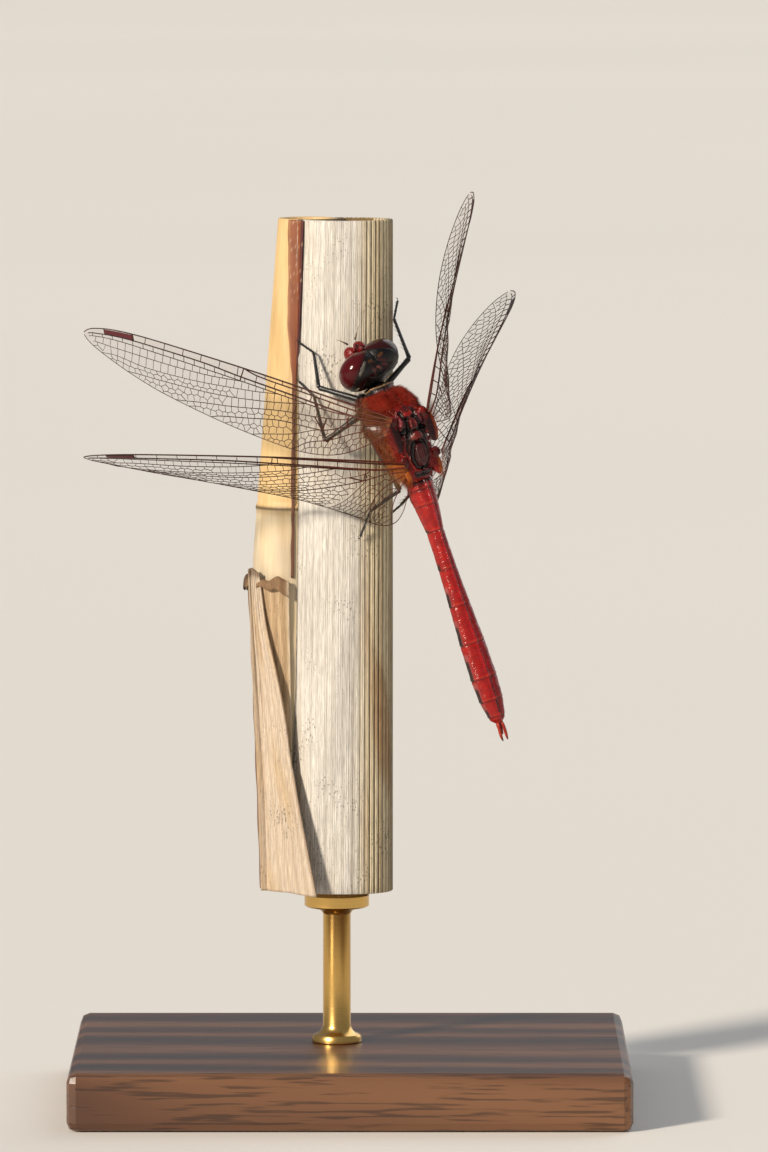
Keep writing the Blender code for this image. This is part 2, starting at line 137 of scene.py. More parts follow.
# Each vein is (name, ((share, distance behind the front edge), ...), radius, height of the pleat).
FOREWING = {
    "root": Vector((1.9, 1.75, 0.0)),
    "length": 28.6,
    "lobe": 0.0,
    "front": (
        (0.0, 0.1), (0.1, 0.25), (0.25, 0.5), (0.45, 0.9), (0.6, 1.15), (0.75, 1.35),
        (0.85, 1.38), (0.92, 1.2), (0.97, 0.82), (0.99, 0.48), (1.0, 0.12),
    ),
    "back": (
        (0.0, 1.5), (0.05, 2.6), (0.12, 3.9), (0.2, 4.8), (0.3, 5.3), (0.45, 5.35), (0.6, 5.0),
        (0.75, 4.15), (0.85, 3.1), (0.92, 2.1), (0.97, 1.2), (0.99, 0.65), (1.0, 0.2),
    ),
    "veins": (
        ("subcosta", ((0.0, 0.2), (0.1, 0.42), (0.3, 0.42), (0.44, 0.38),
                      (0.482, 0.0)), 0.05, -0.2),
        ("radius", ((0.0, 0.45), (0.1, 0.85), (0.3, 0.85), (0.482, 0.8), (0.6, 0.62), (0.8, 0.58),
                    (0.94, 0.5), (0.985, 0.35)), 0.058, 0.05),
        ("radial_1", ((0.115, 0.85), (0.13, 0.92), (0.2, 1.15), (0.35, 1.25), (0.6, 1.25),
                      (0.8, 1.2), (0.92, 1.0), (0.985, 0.8)), 0.04, -0.1),
        ("radial_2", ((0.48, 1.25), (0.6, 1.75), (0.75, 2.0), (0.9, 1.85),
                      (0.97, 1.4)), 0.034, -0.05),
        ("radial_mid", ((0.36, 1.25), (0.5, 2.0), (0.65, 2.7), (0.8, 3.0), (0.9, 2.6),
                        (0.945, MARGIN)), 0.03, 0.06),
        ("radial_3", ((0.28, 1.3), (0.4, 2.3), (0.55, 3.3), (0.7, 3.9),
                      (0.86, MARGIN)), 0.032, -0.05),
        ("media", ((0.115, 0.85), (0.135, 1.3), (0.22, 1.9), (0.35, 2.6), (0.5, 3.9), (0.62, 4.9),
                   (0.7, MARGIN)), 0.034, 0.06),
        ("media_rear", ((0.0, 0.8), (0.1, 1.5), (0.2, 2.9), (0.235, 3.1), (0.35, 3.6), (0.45, 4.6),
                        (0.55, 5.7), (0.58, MARGIN)), 0.036, -0.06),
        ("cubitus", ((0.2, 2.9), (0.235, 3.25), (0.3, 4.3), (0.4, 5.6),
                     (0.44, MARGIN)), 0.03, 0.05),
        ("anal", ((0.0, 1.0), (0.1, 2.2), (0.18, 3.6), (0.25, 4.6), (0.3, MARGIN)), 0.032, -0.03),
    ),
    "cells": (1.7, 1.7, 0.95, 0.7, 0.68, 0.66, 0.66, 0.66, 0.64, 0.62, 0.58),
    "braces": (
        ((0.482, 0.0), (0.4835, 0.4), (0.486, 0.8), (0.489, 1.25)),
        ((0.13, 0.85), (0.134, 1.3), (0.13, 1.85)),
        ((0.2, 1.78), (0.205, 2.95)), ((0.238, 1.98), (0.208, 2.97)),
    ),
    "stigma": (0.838, 0.933),
}
HINDWING = {
    "root": Vector((-2.0, 1.93, -0.1)),
    "length": 27.4,
    "lobe": 0.012,
    "front": (
        (0.0, 0.1), (0.1, 0.25), (0.25, 0.55), (0.4, 0.85), (0.6, 1.1), (0.75, 1.25),
        (0.85, 1.28), (0.92, 1.12), (0.97, 0.78), (0.99, 0.45), (1.0, 0.12),
    ),
    "back": (
        (0.0, 2.6), (0.02, 5.4), (0.05, 7.3), (0.1, 8.4), (0.17, 8.6), (0.25, 8.3), (0.35, 7.6),
        (0.5, 6.7), (0.65, 5.7), (0.78, 4.6), (0.88, 3.2), (0.94, 2.1), (0.98, 1.15),
        (0.99, 0.7), (1.0, 0.2),
    ),
    "veins": (
        ("subcosta", ((0.0, 0.2), (0.1, 0.42), (0.3, 0.42), (0.38, 0.36), (0.41, 0.0)), 0.05, -0.2),
        ("radius", ((0.0, 0.45), (0.1, 0.85), (0.3, 0.85), (0.41, 0.8), (0.55, 0.62), (0.8, 0.58),
                    (0.93, 0.5), (0.985, 0.35)), 0.058, 0.05),
        ("radial_1", ((0.105, 0.85), (0.12, 0.92), (0.2, 1.2), (0.41, 1.3), (0.6, 1.25), (0.8, 1.2),
                      (0.93, 1.0), (0.985, 0.8)), 0.04, -0.1),
        ("radial_2", ((0.42, 1.3), (0.55, 1.85), (0.7, 2.15), (0.85, 2.0),
                      (0.965, MARGIN)), 0.034, -0.05),
        ("radial_mid", ((0.3, 1.28), (0.45, 2.3), (0.6, 3.0), (0.75, 3.4),
                        (0.93, MARGIN)), 0.03, 0.06),
        ("radial_3", ((0.22, 1.25), (0.35, 2.6), (0.5, 3.8), (0.65, 4.5),
                      (0.82, MARGIN)), 0.032, -0.05),
        ("media", ((0.105, 0.85), (0.12, 1.35), (0.17, 2.0), (0.3, 3.3), (0.45, 4.9), (0.58, 6.2),
                   (0.64, MARGIN)), 0.034, 0.06),
        ("media_rear", ((0.0, 0.9), (0.06, 1.3), (0.125, 2.3), (0.15, 2.7), (0.25, 4.2),
                        (0.35, 5.8), (0.45, 7.2), (0.48, MARGIN)), 0.036, -0.06),
        ("cubitus", ((0.12, 2.25), (0.13, 2.6), (0.16, 4.0), (0.2, 6.0), (0.24, 7.8),
                     (0.26, MARGIN)), 0.03, 0.05),
        ("anal_1", ((0.0, 1.2), (0.06, 2.6), (0.1, 4.4), (0.12, 6.5),
                    (0.13, MARGIN)), 0.032, -0.03),
        ("anal_2", ((0.0, 1.6), (0.03, 3.5), (0.05, 5.5), (0.06, MARGIN)), 0.03, 0.03),
    ),
    "cells": (1.7, 1.7, 0.95, 0.7, 0.68, 0.66, 0.66, 0.68, 0.66, 0.7, 0.72, 0.62),
    "braces": (
        ((0.41, 0.0), (0.4115, 0.4), (0.414, 0.8), (0.417, 1.3)),
        ((0.12, 0.85), (0.123, 1.35), (0.12, 1.9)),
        ((0.125, 1.5), (0.13, 2.35)), ((0.175, 2.05), (0.133, 2.4)),
    ),
    "stigma": (0.839, 0.925),
}

# ---- legs: hip in the insect's axes; knee, ankle and toe in the world ----
HIPS = {
    "fore": Vector((4.1, 0.95, -6.2)),
    "mid": Vector((2.9, 1.15, -6.45)),
    "hind": Vector((1.4, 1.15, -6.35)),
}
HIP_SUNK = 0.35         # how far above its solid the visible thigh starts, inside its socket
LEG_POINTS = {
    "fore_L": ((-2.7, -5.0, 62.2), (-3.15, -3.3, 65.1), (-4.45, -1.35, 65.87)),
    "mid_L": ((-2.15, -6.0, 57.7), (-3.1, -3.2, 61.3), (-4.4, -1.65, 62.49)),
    "hind_L": ((4.25, -5.2, 53.4), (1.7, -3.9, 51.5), (0.85, -3.65, 49.3)),
    "fore_R": ((5.05, -4.6, 64.7), (3.75, -1.55, 67.9), (4.05, 0.25, 69.3)),
    "mid_R": ((6.2, -3.2, 58.3), (4.3, -0.35, 56.4), (3.25, 2.5, 55.4)),
    "hind_R": ((6.3, -3.2, 54.2), (4.35, 0.4, 51.7), (2.85, 2.9, 50.2)),
}

# A bone's radius, as shares of half the thigh's thickness: (share of its length, radius).
FEMUR = (
    (0.0, 1.05), (0.08, 1.2), (0.35, 1.12), (0.8, 0.85), (0.93, 0.95), (0.985, 0.92), (1.0, 0.55),
)
TIBIA = (
    (0.0, 0.5), (0.02, 0.78), (0.08, 0.72), (0.3, 0.6), (0.9, 0.52), (0.985, 0.58), (1.0, 0.35),
)
FOOT_JOINT = ((0.0, 0.3), (0.1, 0.36), (0.8, 0.42), (0.97, 0.46), (1.0, 0.3))

# ---- reed and stand ----
REED_BOTTOM, REED_TOP = 18.3, 76.4
SHEATH_ENDS = ((-0.72, 0.0, 4.42, 3.5), (-0.32, 0.0, 4.02, 3.4))   # x, y, half width, half depth
CULM_STATIONS = (       # height, x, y, radius
    (18.3, -4.75, 1.8, 2.85), (46.5, -5.2, 2.5, 3.42), (76.4, -3.72, 2.0, 2.65),
)
NODE_HEIGHT = 51.4
RIBS = 54               # ribs round the sheath
SHEATH_INSET, CULM_INSET = 0.06, 0.14       # how far their visible faces lie inside the solids
SAW_RIM = 0.07          # the broken edge of a sawn end
# The sheath's brown edge, which crosses from the culm to the sheath: (height, x) of its sides.
MARGIN_LEFT = (
    (45.5, -5.12), (56.0, -5.08), (62.0, -4.98), (64.0, -5.18), (66.8, -5.36), (77.0, -5.3),
)
MARGIN_RIGHT = (
    (45.5, -4.9), (56.0, -4.78), (62.5, -4.66), (66.0, -4.44), (70.0, -4.26), (77.0, -4.02),
)
MARGIN_THICKNESS = 0.1
LEAF_THICKNESS = 0.14
LEAF_TOP = 45.6
FOLD_FROM = 0.93        # share of the way up at which the clasping leaf folds over
BLADE_TOP = 46.1
BLADE_LEFT = ((18.3, -7.75), (25.0, -7.95), (33.4, -8.3), (39.6, -8.6), (46.2, -8.85))
BLADE_RIGHT = (
    (18.3, -2.9), (23.1, -3.85), (26.2, -4.47), (30.1, -5.15), (33.4, -5.6), (37.1, -6.31),
    (41.6, -7.3), (46.2, -7.9),
)
ROD_PLACE = Vector((-1.2, 0.4))
ROD_RADIUS = 1.2
CAP_RADIUS = 2.8
CAP_TOP = 18.18
BASE_HEIGHT = 5.0


def linear(code):
    """An sRGB hex colour as the linear values that shaders and attributes hold."""
    parts = [int(code[at:at + 2], 16) / 255 for at in (1, 3, 5)]
    return tuple(p / 12.92 if p <= 0.04045 else ((p + 0.055) / 1.055) ** 2.4 for p in parts)


# ==== making meshes ====


def eased(table, share):
    """The table's values at an array of shares, on the curve that the solids use."""
    x, y = np.array(table, float).T
    share = np.asarray(share, float)
    slope = np.gradient(y, x)
    slope[1:-1] = (y[2:] - y[:-2]) / (x[2:] - x[:-2])
    slope[0] = (y[1] - y[0]) / (x[1] - x[0])
    slope[-1] = (y[-1] - y[-2]) / (x[-1] - x[-2])
    spot = np.clip(np.searchsorted(x, share) - 1, 0, len(x) - 2)
    step = x[spot + 1] - x[spot]
    t = (share - x[spot]) / step
    return (
        (2 * t**3 - 3 * t**2 + 1) * y[spot] + (t**3 - 2 * t**2 + t) * step * slope[spot]
        + (-2 * t**3 + 3 * t**2) * y[spot + 1] + (t**3 - t**2) * step * slope[spot + 1]
    )


def soft_step(value):
    t = np.clip(value, 0, 1)
    return t * t * (3 - 2 * t)


def hill(value):
    """1 at 0, and falling away on both sides within about 2."""
    return np.exp(-(value**2))


def points_of(mesh):
    flat = np.empty(len(mesh.vertices) * 3)
    mesh.vertices.foreach_get("co", flat)
    return flat.reshape(-1, 3)


def normals_of(mesh):
    flat = np.empty(len(mesh.vertices) * 3, np.float32)
    mesh.vertex_normals.foreach_get("vector", flat)
    return flat.reshape(-1, 3).astype(float)


def set_points(mesh, points):
    mesh.vertices.foreach_set("co", points.astype(np.float32).ravel())
    mesh.update()


def paint(mesh, tones):
    """Stores a colour at each of the mesh's points."""
    layer = mesh.color_attributes.new("tone", "FLOAT_COLOR", "POINT")
    rgba = np.ones((len(mesh.vertices), 4), np.float32)
    rgba[:, :3] = tones
    layer.data.foreach_set("color", rgba.ravel())


def store(mesh, values, name):
    """Stores a number at each of the mesh's points."""
    layer = mesh.attributes.new(name, "FLOAT", "POINT")
    layer.data.foreach_set("value", np.asarray(values, np.float32))


def mesh_from(bm, name):
    """The bmesh as a mesh, with its faces outward."""
    bmesh.ops.recalc_face_normals(bm, faces=bm.faces)
    mesh = bpy.data.meshes.new(name)
    bm.to_mesh(mesh)
    bm.free()
    mesh.shade_smooth()
    return mesh


def new_object(name, data):
    """An object in the scene that holds the mesh, curve, light or camera."""
    thing = bpy.data.objects.new(name, data)
    bpy.context.scene.collection.objects.link(thing)
    return thing


def place_piece(name, mesh, place, finish, nodes=()):
    """Makes the mesh a piece of the model, in place of the named solids."""
    mesh.transform(place)
    mesh.update()
    mesh.name = name
    piece = new_object(name, mesh)
    mesh.materials.append(finish)
    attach(piece, "root")
    if nodes:
        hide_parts(*nodes)
    return piece


def taken_mesh(thing):
    """The object's mesh after its modifiers; the object itself is removed."""
    graph = bpy.context.evaluated_depsgraph_get()
    mesh = bpy.data.meshes.new_from_object(thing.evaluated_get(graph))
    bpy.data.objects.remove(thing)
    return mesh


def evaluated_mesh(mesh, modifiers):
    """The mesh after a list of (modifier type, settings)."""
    thing = new_object("shape", mesh)
    for kind, settings in modifiers:
        modifier = thing.modifiers.new(kind.title(), kind)
        for key, value in settings.items():
            setattr(modifier, key, value)
    return taken_mesh(thing)


def ball(bm, centre, radii, around, rings):
    """Adds a closed ellipsoid to the bmesh and returns its vertices."""
    place = Matrix.Translation(centre) @ Matrix.Diagonal(radii).to_4x4()
    made = bmesh.ops.create_uvsphere(
        bm, u_segments=around, v_segments=rings, radius=1, matrix=place,
    )
    return made["verts"]


def sided(spot, side):
    """The spot, or its mirror image where side is -1."""
    return Vector((spot[0], spot[1] * side, spot[2]))


def ring_frame(centre, across, upward, half_width, half_height):
    """A matrix that makes a unit circle an ellipse at centre."""
    turn = Matrix((across * half_width, upward * half_height, across.cross(upward))).transposed()
    return Matrix.Translation(centre) @ turn.to_4x4()


def loft(bm, frames, sides):
    """Adds a closed tube through ellipses, one for each frame."""
    rings = []
    for at in frames:
        made = bmesh.ops.create_circle(bm, cap_ends=False, radius=1, segments=sides, matrix=at)
        rings.append(made["verts"])
    for near, far in zip(rings, rings[1:]):
        near_set, far_set = set(near), set(far)
        edges = {edge for vert in near + far for edge in vert.link_edges}
        flat = [e for e in edges if set(e.verts) <= near_set or set(e.verts) <= far_set]
        bmesh.ops.bridge_loops(bm, edges=flat)
    for ring in (rings[0], rings[-1]):
        bmesh.ops.contextual_create(bm, geom=ring)


def upright_ring(f, l, u, half_width, half_height):
    """The frame of a ring that stands square to the insect's length."""
    centre, across, up = Vector((f, l, u)), Vector((0, 1, 0)), Vector((0, 0, 1))
    return ring_frame(centre, across, up, half_width, half_height)


def fused(bm, cell, passes):
    """One closed skin over a bmesh of closed shells, with cells of that size."""
    return evaluated_mesh(mesh_from(bm, "shells"), (
        ("REMESH", {"mode": "VOXEL", "voxel_size": cell, "use_smooth_shade": True}),
        ("SMOOTH", {"factor": 0.5, "iterations": passes}),
    ))


def bent_grid(segments, place):
    """A grid whose corners go where place(across, up) says, with their shares across and up."""
    bm = bmesh.new()
    bmesh.ops.create_grid(bm, x_segments=segments[0], y_segments=segments[1], size=0.5)
    across, up = np.array([vert.co for vert in bm.verts]).T[:2] + 0.5
    for vert, spot in zip(bm.verts, place(across, up)):
        vert.co = spot
    return bm, across, up


def tube_grid(around, along, place):
    """A closed tube from a grid, each corner put where place(turn, share) says."""
    bm, _, _ = bent_grid((around, along), lambda across, up: place(across * math.tau, up))
    bmesh.ops.remove_doubles(bm, verts=bm.verts, dist=1e-4)
    return bm


def bent_sheet(segments, place):
    """A bent grid as an open mesh, with the shares of its points."""
    bm, across, up = bent_grid(segments, place)
    mesh = bpy.data.meshes.new("sheet")
    bm.to_mesh(mesh)
    bm.free()
    return mesh, across, up


def thickened(mesh, thickness):
    """A closed sheet of that thickness, made half to each side of an open one."""
    sheet = evaluated_mesh(mesh, (("SOLIDIFY", {"thickness": thickness, "offset": 0.0}),))
    sheet.shade_smooth()
    return sheet


def nearness(points, line, reach, edge=1.0):
    """How near each point is to a line of spots: 0 at reach, and 1 past edge, a share of it."""
    spots = np.array([tuple(spot) for spot in line])
    close = ((points > spots.min(0) - reach) & (points < spots.max(0) + reach)).all(1)
    near, found = points[close], np.zeros(len(points))
    best = np.linalg.norm(near - spots[0], axis=1)
    for start, end in zip(spots, spots[1:]):
        way = end - start
        share = np.clip((near - start) @ way / max(way @ way, 1e-12), 0, 1)
        best = np.minimum(best, np.linalg.norm(near - start - share[:, None] * way, axis=1))
    found[close] = soft_step((1 - best / reach) / edge)
    return found


def overlaid(tones, colour_layers):
    """The colours under a list of layers, each (amount at each point, hex code or colours)."""
    tones = np.array(tones, float)
    for amount, colour in colour_layers:
        share = np.reshape(amount, (-1, 1))
        laid_colour = linear(colour) if isinstance(colour, str) else colour
        tones = tones * (1 - share) + np.array(laid_colour) * share
    return tones


def mirrored(line):
    return [(f, -l, u) for f, l, u in line]


def laid(line, tree):
    """The line of spots, drawn in short steps on the skin that the tree holds."""
    ends = [Vector(spot) for spot in line]
    route = ends[:1]
    for start, end in zip(ends, ends[1:]):
        count = max(1, round((end - start).length / 0.12))
        route += [start.lerp(end, number / count) for number in range(1, count + 1)]
    return [tree.find_nearest(spot)[0] for spot in route]


def work_relief(mesh, base, features):
    """Raises or sinks the skin along lines that are laid on it, and colours it there.

    Each feature is (line of spots, reach, edge, height, colour or None, strength, mirrored too).
    """
    points, normals = points_of(mesh), normals_of(mesh)
    tree = BVHTree.FromPolygons(points.tolist(), [tuple(face.vertices) for face in mesh.polygons])
    shift = np.zeros(len(points))
    tones = base.copy()
    for line, reach, edge, height, colour, strength, both in features:
        for route in ([line, mirrored(line)] if both else [line]):
            near = nearness(points, laid(route, tree), reach, edge)
            shift += height * near
            if colour:
                tones = overlaid(tones, [(near * strength, colour)])
    set_points(mesh, points + normals * shift[:, None])
    return tones


def tubes(routes, sides=0):
    """A mesh of tubes: each route is a list of (point, radius)."""
    curve = bpy.data.curves.new("routes", "CURVE")
    curve.dimensions = "3D"
    curve.bevel_depth = 1.0
    curve.bevel_resolution = sides
    curve.use_fill_caps = True
    for route in routes:
        spline = curve.splines.new("POLY")
        spline.points.add(len(route) - 1)
        spline.points.foreach_set("co", [value for point, _ in route for value in (*point, 1.0)])
        spline.points.foreach_set("radius", [radius for _, radius in route])
    return taken_mesh(new_object("routes", curve))


# ==== finishes ====


def add_node(tree, kind, inputs=None, stops=None, **settings):
    """Adds a shader node with its settings, its input values or links, and a ramp's stops."""
    node = tree.nodes.new("ShaderNode" + kind)
    for key, value in settings.items():
        setattr(node, key, value)
    for key, value in (inputs or {}).items():
        if isinstance(value, bpy.types.NodeSocket):
            tree.links.new(value, node.inputs[key])
        else:
            node.inputs[key].default_value = value
    for number, (at, shade) in enumerate(stops or ()):
        ramp = node.color_ramp.elements
        stop = ramp[number] if number < 2 else ramp.new(at)
        stop.position = at
        stop.color = (*shade, 1)
    return node


def new_finish(name, **shader_values):
    """An empty finish, whose shader takes values by input name; a function that adds nodes to it;
    and the socket that says where on the piece a point is."""
    finish = bpy.data.materials.new(name)
    finish.use_nodes = True
    finish.node_tree.nodes.clear()
    add = functools.partial(add_node, finish.node_tree)
    values = {key.replace("_", " "): value for key, value in shader_values.items()}
    shader = add("BsdfPrincipled", values, name="shader")
    add("OutputMaterial", {"Surface": shader.outputs[0]})
    return finish, add, add("TexCoord").outputs["Object"]


def complete(finish, colour, height=None, depth=0.0, strength=0.5, invert=False, cover=None):
    """The finish with its colour, its relief of a depth in millimetres, and its cover."""
    tree = finish.node_tree
    links = {"Base Color": colour, "Alpha": cover}
    if height:
        values = {"Height": height, "Distance": depth * MM, "Strength": strength}
        links["Normal"] = add_node(tree, "Bump", values, invert=invert).outputs[0]
    for key, socket in links.items():
        if socket:
            tree.links.new(socket, tree.nodes["shader"].inputs[key])
    return finish


def per_mm(size):
    """A texture scale that repeats about every size millimetres."""
    return 1 / (size * MM)


def grey(value):
    return (value, value, value)


def cuticle(name, mottle, mottle_size, pit_size, pit_depth, grain=1.0, **shader_values):
    """Chitin, hardened and coloured from within, as painted on the skin.

    The eye sees a deep, slightly uneven colour, and a gloss broken by fine pits. A grain under 1
    shortens the pits along the body into cross wrinkles, which draw the gloss out into a line.
    """
    finish, add, where = new_finish(name, **shader_values)
    tone = add("Attribute", attribute_name="tone")
    cloud = add("TexNoise", {"Vector": where, "Scale": per_mm(mottle_size), "Detail": 3})
    shade = add(
        "ValToRGB", {0: cloud.outputs[0]},
        stops=((0.3, grey(1 - mottle)), (0.7, grey(1.0))),
    )
    mixed = add(
        "Mix", {0: 1.0, 6: tone.outputs["Color"], 7: shade.outputs[0]},
        data_type="RGBA", blend_type="MULTIPLY",
    )
    lay = add(
        "Mapping",
        {"Vector": where, "Rotation": BODY_TURN.to_euler(), "Scale": (grain, 1, 1)},
        vector_type="TEXTURE",
    )
    pits = add(
        "TexNoise", {"Vector": lay.outputs[0], "Scale": per_mm(pit_size), "Detail": 2},
    )
    return complete(finish, mixed.outputs[2], pits.outputs[0], pit_depth, 0.8)


def compound_eye():
    """A dragonfly's compound eye: clear lenses over dark red pigment.

    The facets are 0.03 mm across and are drawn at 0.06 so that they show; the whole is glossy.
    """
    finish, add, where = new_finish("compound_eye", Roughness=0.14, IOR=1.38)
    tone = add("Attribute", attribute_name="tone")
    facets = add("TexVoronoi", {"Vector": where, "Scale": per_mm(0.06)})
    shade = add(
        "ValToRGB", {0: facets.outputs["Distance"]},
        stops=((0.25, grey(1.0)), (0.75, grey(0.72))),
    )
    mixed = add(
        "Mix", {0: 1.0, 6: tone.outputs["Color"], 7: shade.outputs[0]},
        data_type="RGBA", blend_type="MULTIPLY",
    )
    return complete(finish, mixed.outputs[2], facets.outputs["Distance"], 0.004, invert=True)


def wing_membrane():
    """Dry, clear wing membrane, two layers of chitin pressed together.

    The eye sees straight through it, with a faint amber tint and a wet-looking gloss.
    """
    finish, add, where = new_finish("wing_membrane", Roughness=0.16, IOR=1.42)
    tone = add("Attribute", attribute_name="tone")
    cover = add("Attribute", attribute_name="cover")
    ripple = add("TexNoise", {"Vector": where, "Scale": per_mm(0.5), "Detail": 1})
    return complete(
        finish, tone.outputs["Color"], ripple.outputs[0], 0.02, 0.6, cover=cover.outputs["Fac"],
    )


def plant_fibre(name, streak_size, streak_depth, dark, specks_in_patch, **shader_values):
    """Dead reed tissue, bleached and dried: long fibres, grey streaks and specks of mould."""
    finish, add, where = new_finish(name, **shader_values)
    tone = add("Attribute", attribute_name="tone")
    along = add("Mapping", {"Vector": where, "Scale": (1, 1, 0.05)})
    streaks = add(
        "TexNoise",
        {"Vector": along.outputs[0], "Scale": per_mm(streak_size), "Detail": 4, "Roughness": 0.65},
    )
    shade = add(
        "ValToRGB", {0: streaks.outputs[0]},
        stops=((0.32, grey(1 - dark)), (0.66, grey(1.0))),
    )
    streaked = add(
        "Mix", {0: 1.0, 6: tone.outputs["Color"], 7: shade.outputs[0]},
        data_type="RGBA", blend_type="MULTIPLY",
    )
    short = add("Mapping", {"Vector": where, "Scale": (1, 1, 0.6)})
    specks = add("TexVoronoi", {"Vector": short.outputs[0], "Scale": per_mm(0.22)})
    patches = add("TexNoise", {"Vector": where, "Scale": per_mm(4.0), "Detail": 2})
    reach = add(
        "MapRange",
        {"Value": patches.outputs[0], "From Min": 0.42, "From Max": 0.72, "To Min": 0.0,
         "To Max": specks_in_patch},
    )
    inside = add(
        "Math", {0: specks.outputs["Distance"], 1: reach.outputs[0]},
        operation="LESS_THAN",
    )
    weight = add("Math", {0: inside.outputs[0], 1: 0.5}, operation="MULTIPLY")
    speckled = add(
        "Mix",
        {0: weight.outputs[0], 6: streaked.outputs[2], 7: (*linear("#3a2c22"), 1)},
        data_type="RGBA",
    )
    return complete(finish, speckled.outputs[2], streaks.outputs[0], streak_depth, 0.9)


def walnut():
    """Oiled walnut, planed and sanded: brown figure along the board and open pores."""
    finish, add, where = new_finish(
        "oiled_walnut", Roughness=0.42, Coat_Weight=0.25, Coat_Roughness=0.25,
    )
    along = add("Mapping", {"Vector": where, "Scale": (0.12, 1, 0.7)})
    bend = add("TexNoise", {"Vector": along.outputs[0], "Scale": per_mm(9), "Detail": 3})
    rings = add(
        "TexWave",
        {"Vector": along.outputs[0], "Scale": per_mm(26), "Distortion": 7.0, "Detail": 3,
         "Detail Scale": 1.6},
        bands_direction="Y",
    )
    figure = add(
        "Mix", {0: 0.45, 6: rings.outputs[0], 7: bend.outputs[0]}, data_type="RGBA",
    )
    brown = add(
        "ValToRGB", {0: figure.outputs[2]},
        stops=((0.15, linear("#2c1a10")), (0.5, linear("#553420")), (0.85, linear("#7a5234"))),
    )
    pore_map = add("Mapping", {"Vector": where, "Scale": (0.05, 1, 1)})
    pores = add("TexNoise", {"Vector": pore_map.outputs[0], "Scale": per_mm(0.3)})
    open_pores = add(
        "ValToRGB", {0: pores.outputs[0]},
        stops=((0.36, grey(0.45)), (0.46, grey(1.0))),
    )
    mixed = add(
        "Mix", {0: 1.0, 6: brown.outputs[0], 7: open_pores.outputs[0]},
        data_type="RGBA", blend_type="MULTIPLY",
    )
    return complete(finish, mixed.outputs[2], open_pores.outputs[0], 0.03)


def turned_brass():
    """Brass, turned on a lathe and lacquered: fine rings round the axis catch the light."""
    finish, add, where = new_finish(
        "turned_brass", Base_Color=(*linear("#d9b066"), 1), Metallic=1.0, Roughness=0.27,
    )
    squash = add("Mapping", {"Vector": where, "Scale": (0.02, 0.02, 1)})
    rings = add("TexNoise", {"Vector": squash.outputs[0], "Scale": per_mm(0.12)})
    return complete(finish, None, rings.outputs[0], 0.01)


def studio_floor(colour):
    """Matt painted board, rolled: even and pale, with a faint unevenness."""
    finish, add, where = new_finish("studio_floor", Roughness=0.9)
    cloud = add("TexNoise", {"Vector": where, "Scale": 1.5, "Detail": 2})
    tint = tuple(0.97 * part for part in colour)
    shade = add(
        "ValToRGB", {0: cloud.outputs[0]}, stops=((0.3, tint), (0.7, tuple(colour))),
    )
    return complete(finish, shade.outputs[0])


# ==== head ====


def make_eyes(settings):
    """The two large compound eyes, which meet on the crown of the head."""
    finish = compound_eye()
    for name, side in (("L", 1), ("R", -1)):
        centre = sided(EYE_OFFSET, side)
        bm = bmesh.new()
        ball(bm, centre, EYE_RADII, around=80, rings=52)
        bmesh.ops.bisect_plane(
            bm, geom=bm.verts[:] + bm.edges[:] + bm.faces[:], dist=1e-5,
            plane_co=(0, side * 0.012, 0), plane_no=(0, side, 0), clear_inner=True,
        )
        bmesh.ops.holes_fill(bm, edges=bm.edges)
        mesh = mesh_from(bm, "eye")
        mesh.set_sharp_from_angle(angle=math.radians(50))
        points = points_of(mesh)
        height = (points[:, 2] - EYE_OFFSET.z) / EYE_RADII.z
        paint(mesh, overlaid(settings.eye_colour, (
            (soft_step((1.35 - points @ np.array(EYE_RIM[0])) / 0.5) * 0.8, "#2a0708"),
            (soft_step((-0.2 - height) / 0.5), "#63502c"),
        )))
        place_piece(f"compound_eye_{name}", mesh, HEAD, finish, [f"eye_{name}"])


def eye_cup(bm, side):
    """The hard plate that holds the eye from behind, as a shell cut along the eye's rim."""
    centre = sided(EYE_OFFSET, side)
    verts = ball(bm, centre, EYE_RADII + Vector((0.05, 0.05, 0.05)), around=48, rings=32)
    normal, reach = sided(EYE_RIM[0], side), EYE_RIM[1]
    geom = list({part for vert in verts for part in (vert, *vert.link_edges, *vert.link_faces)})
    bmesh.ops.bisect_plane(
        bm, geom=geom, dist=1e-5, plane_co=normal * reach, plane_no=normal, clear_outer=True,
    )
    bmesh.ops.holes_fill(bm, edges=[edge for edge in bm.edges if edge.is_boundary])


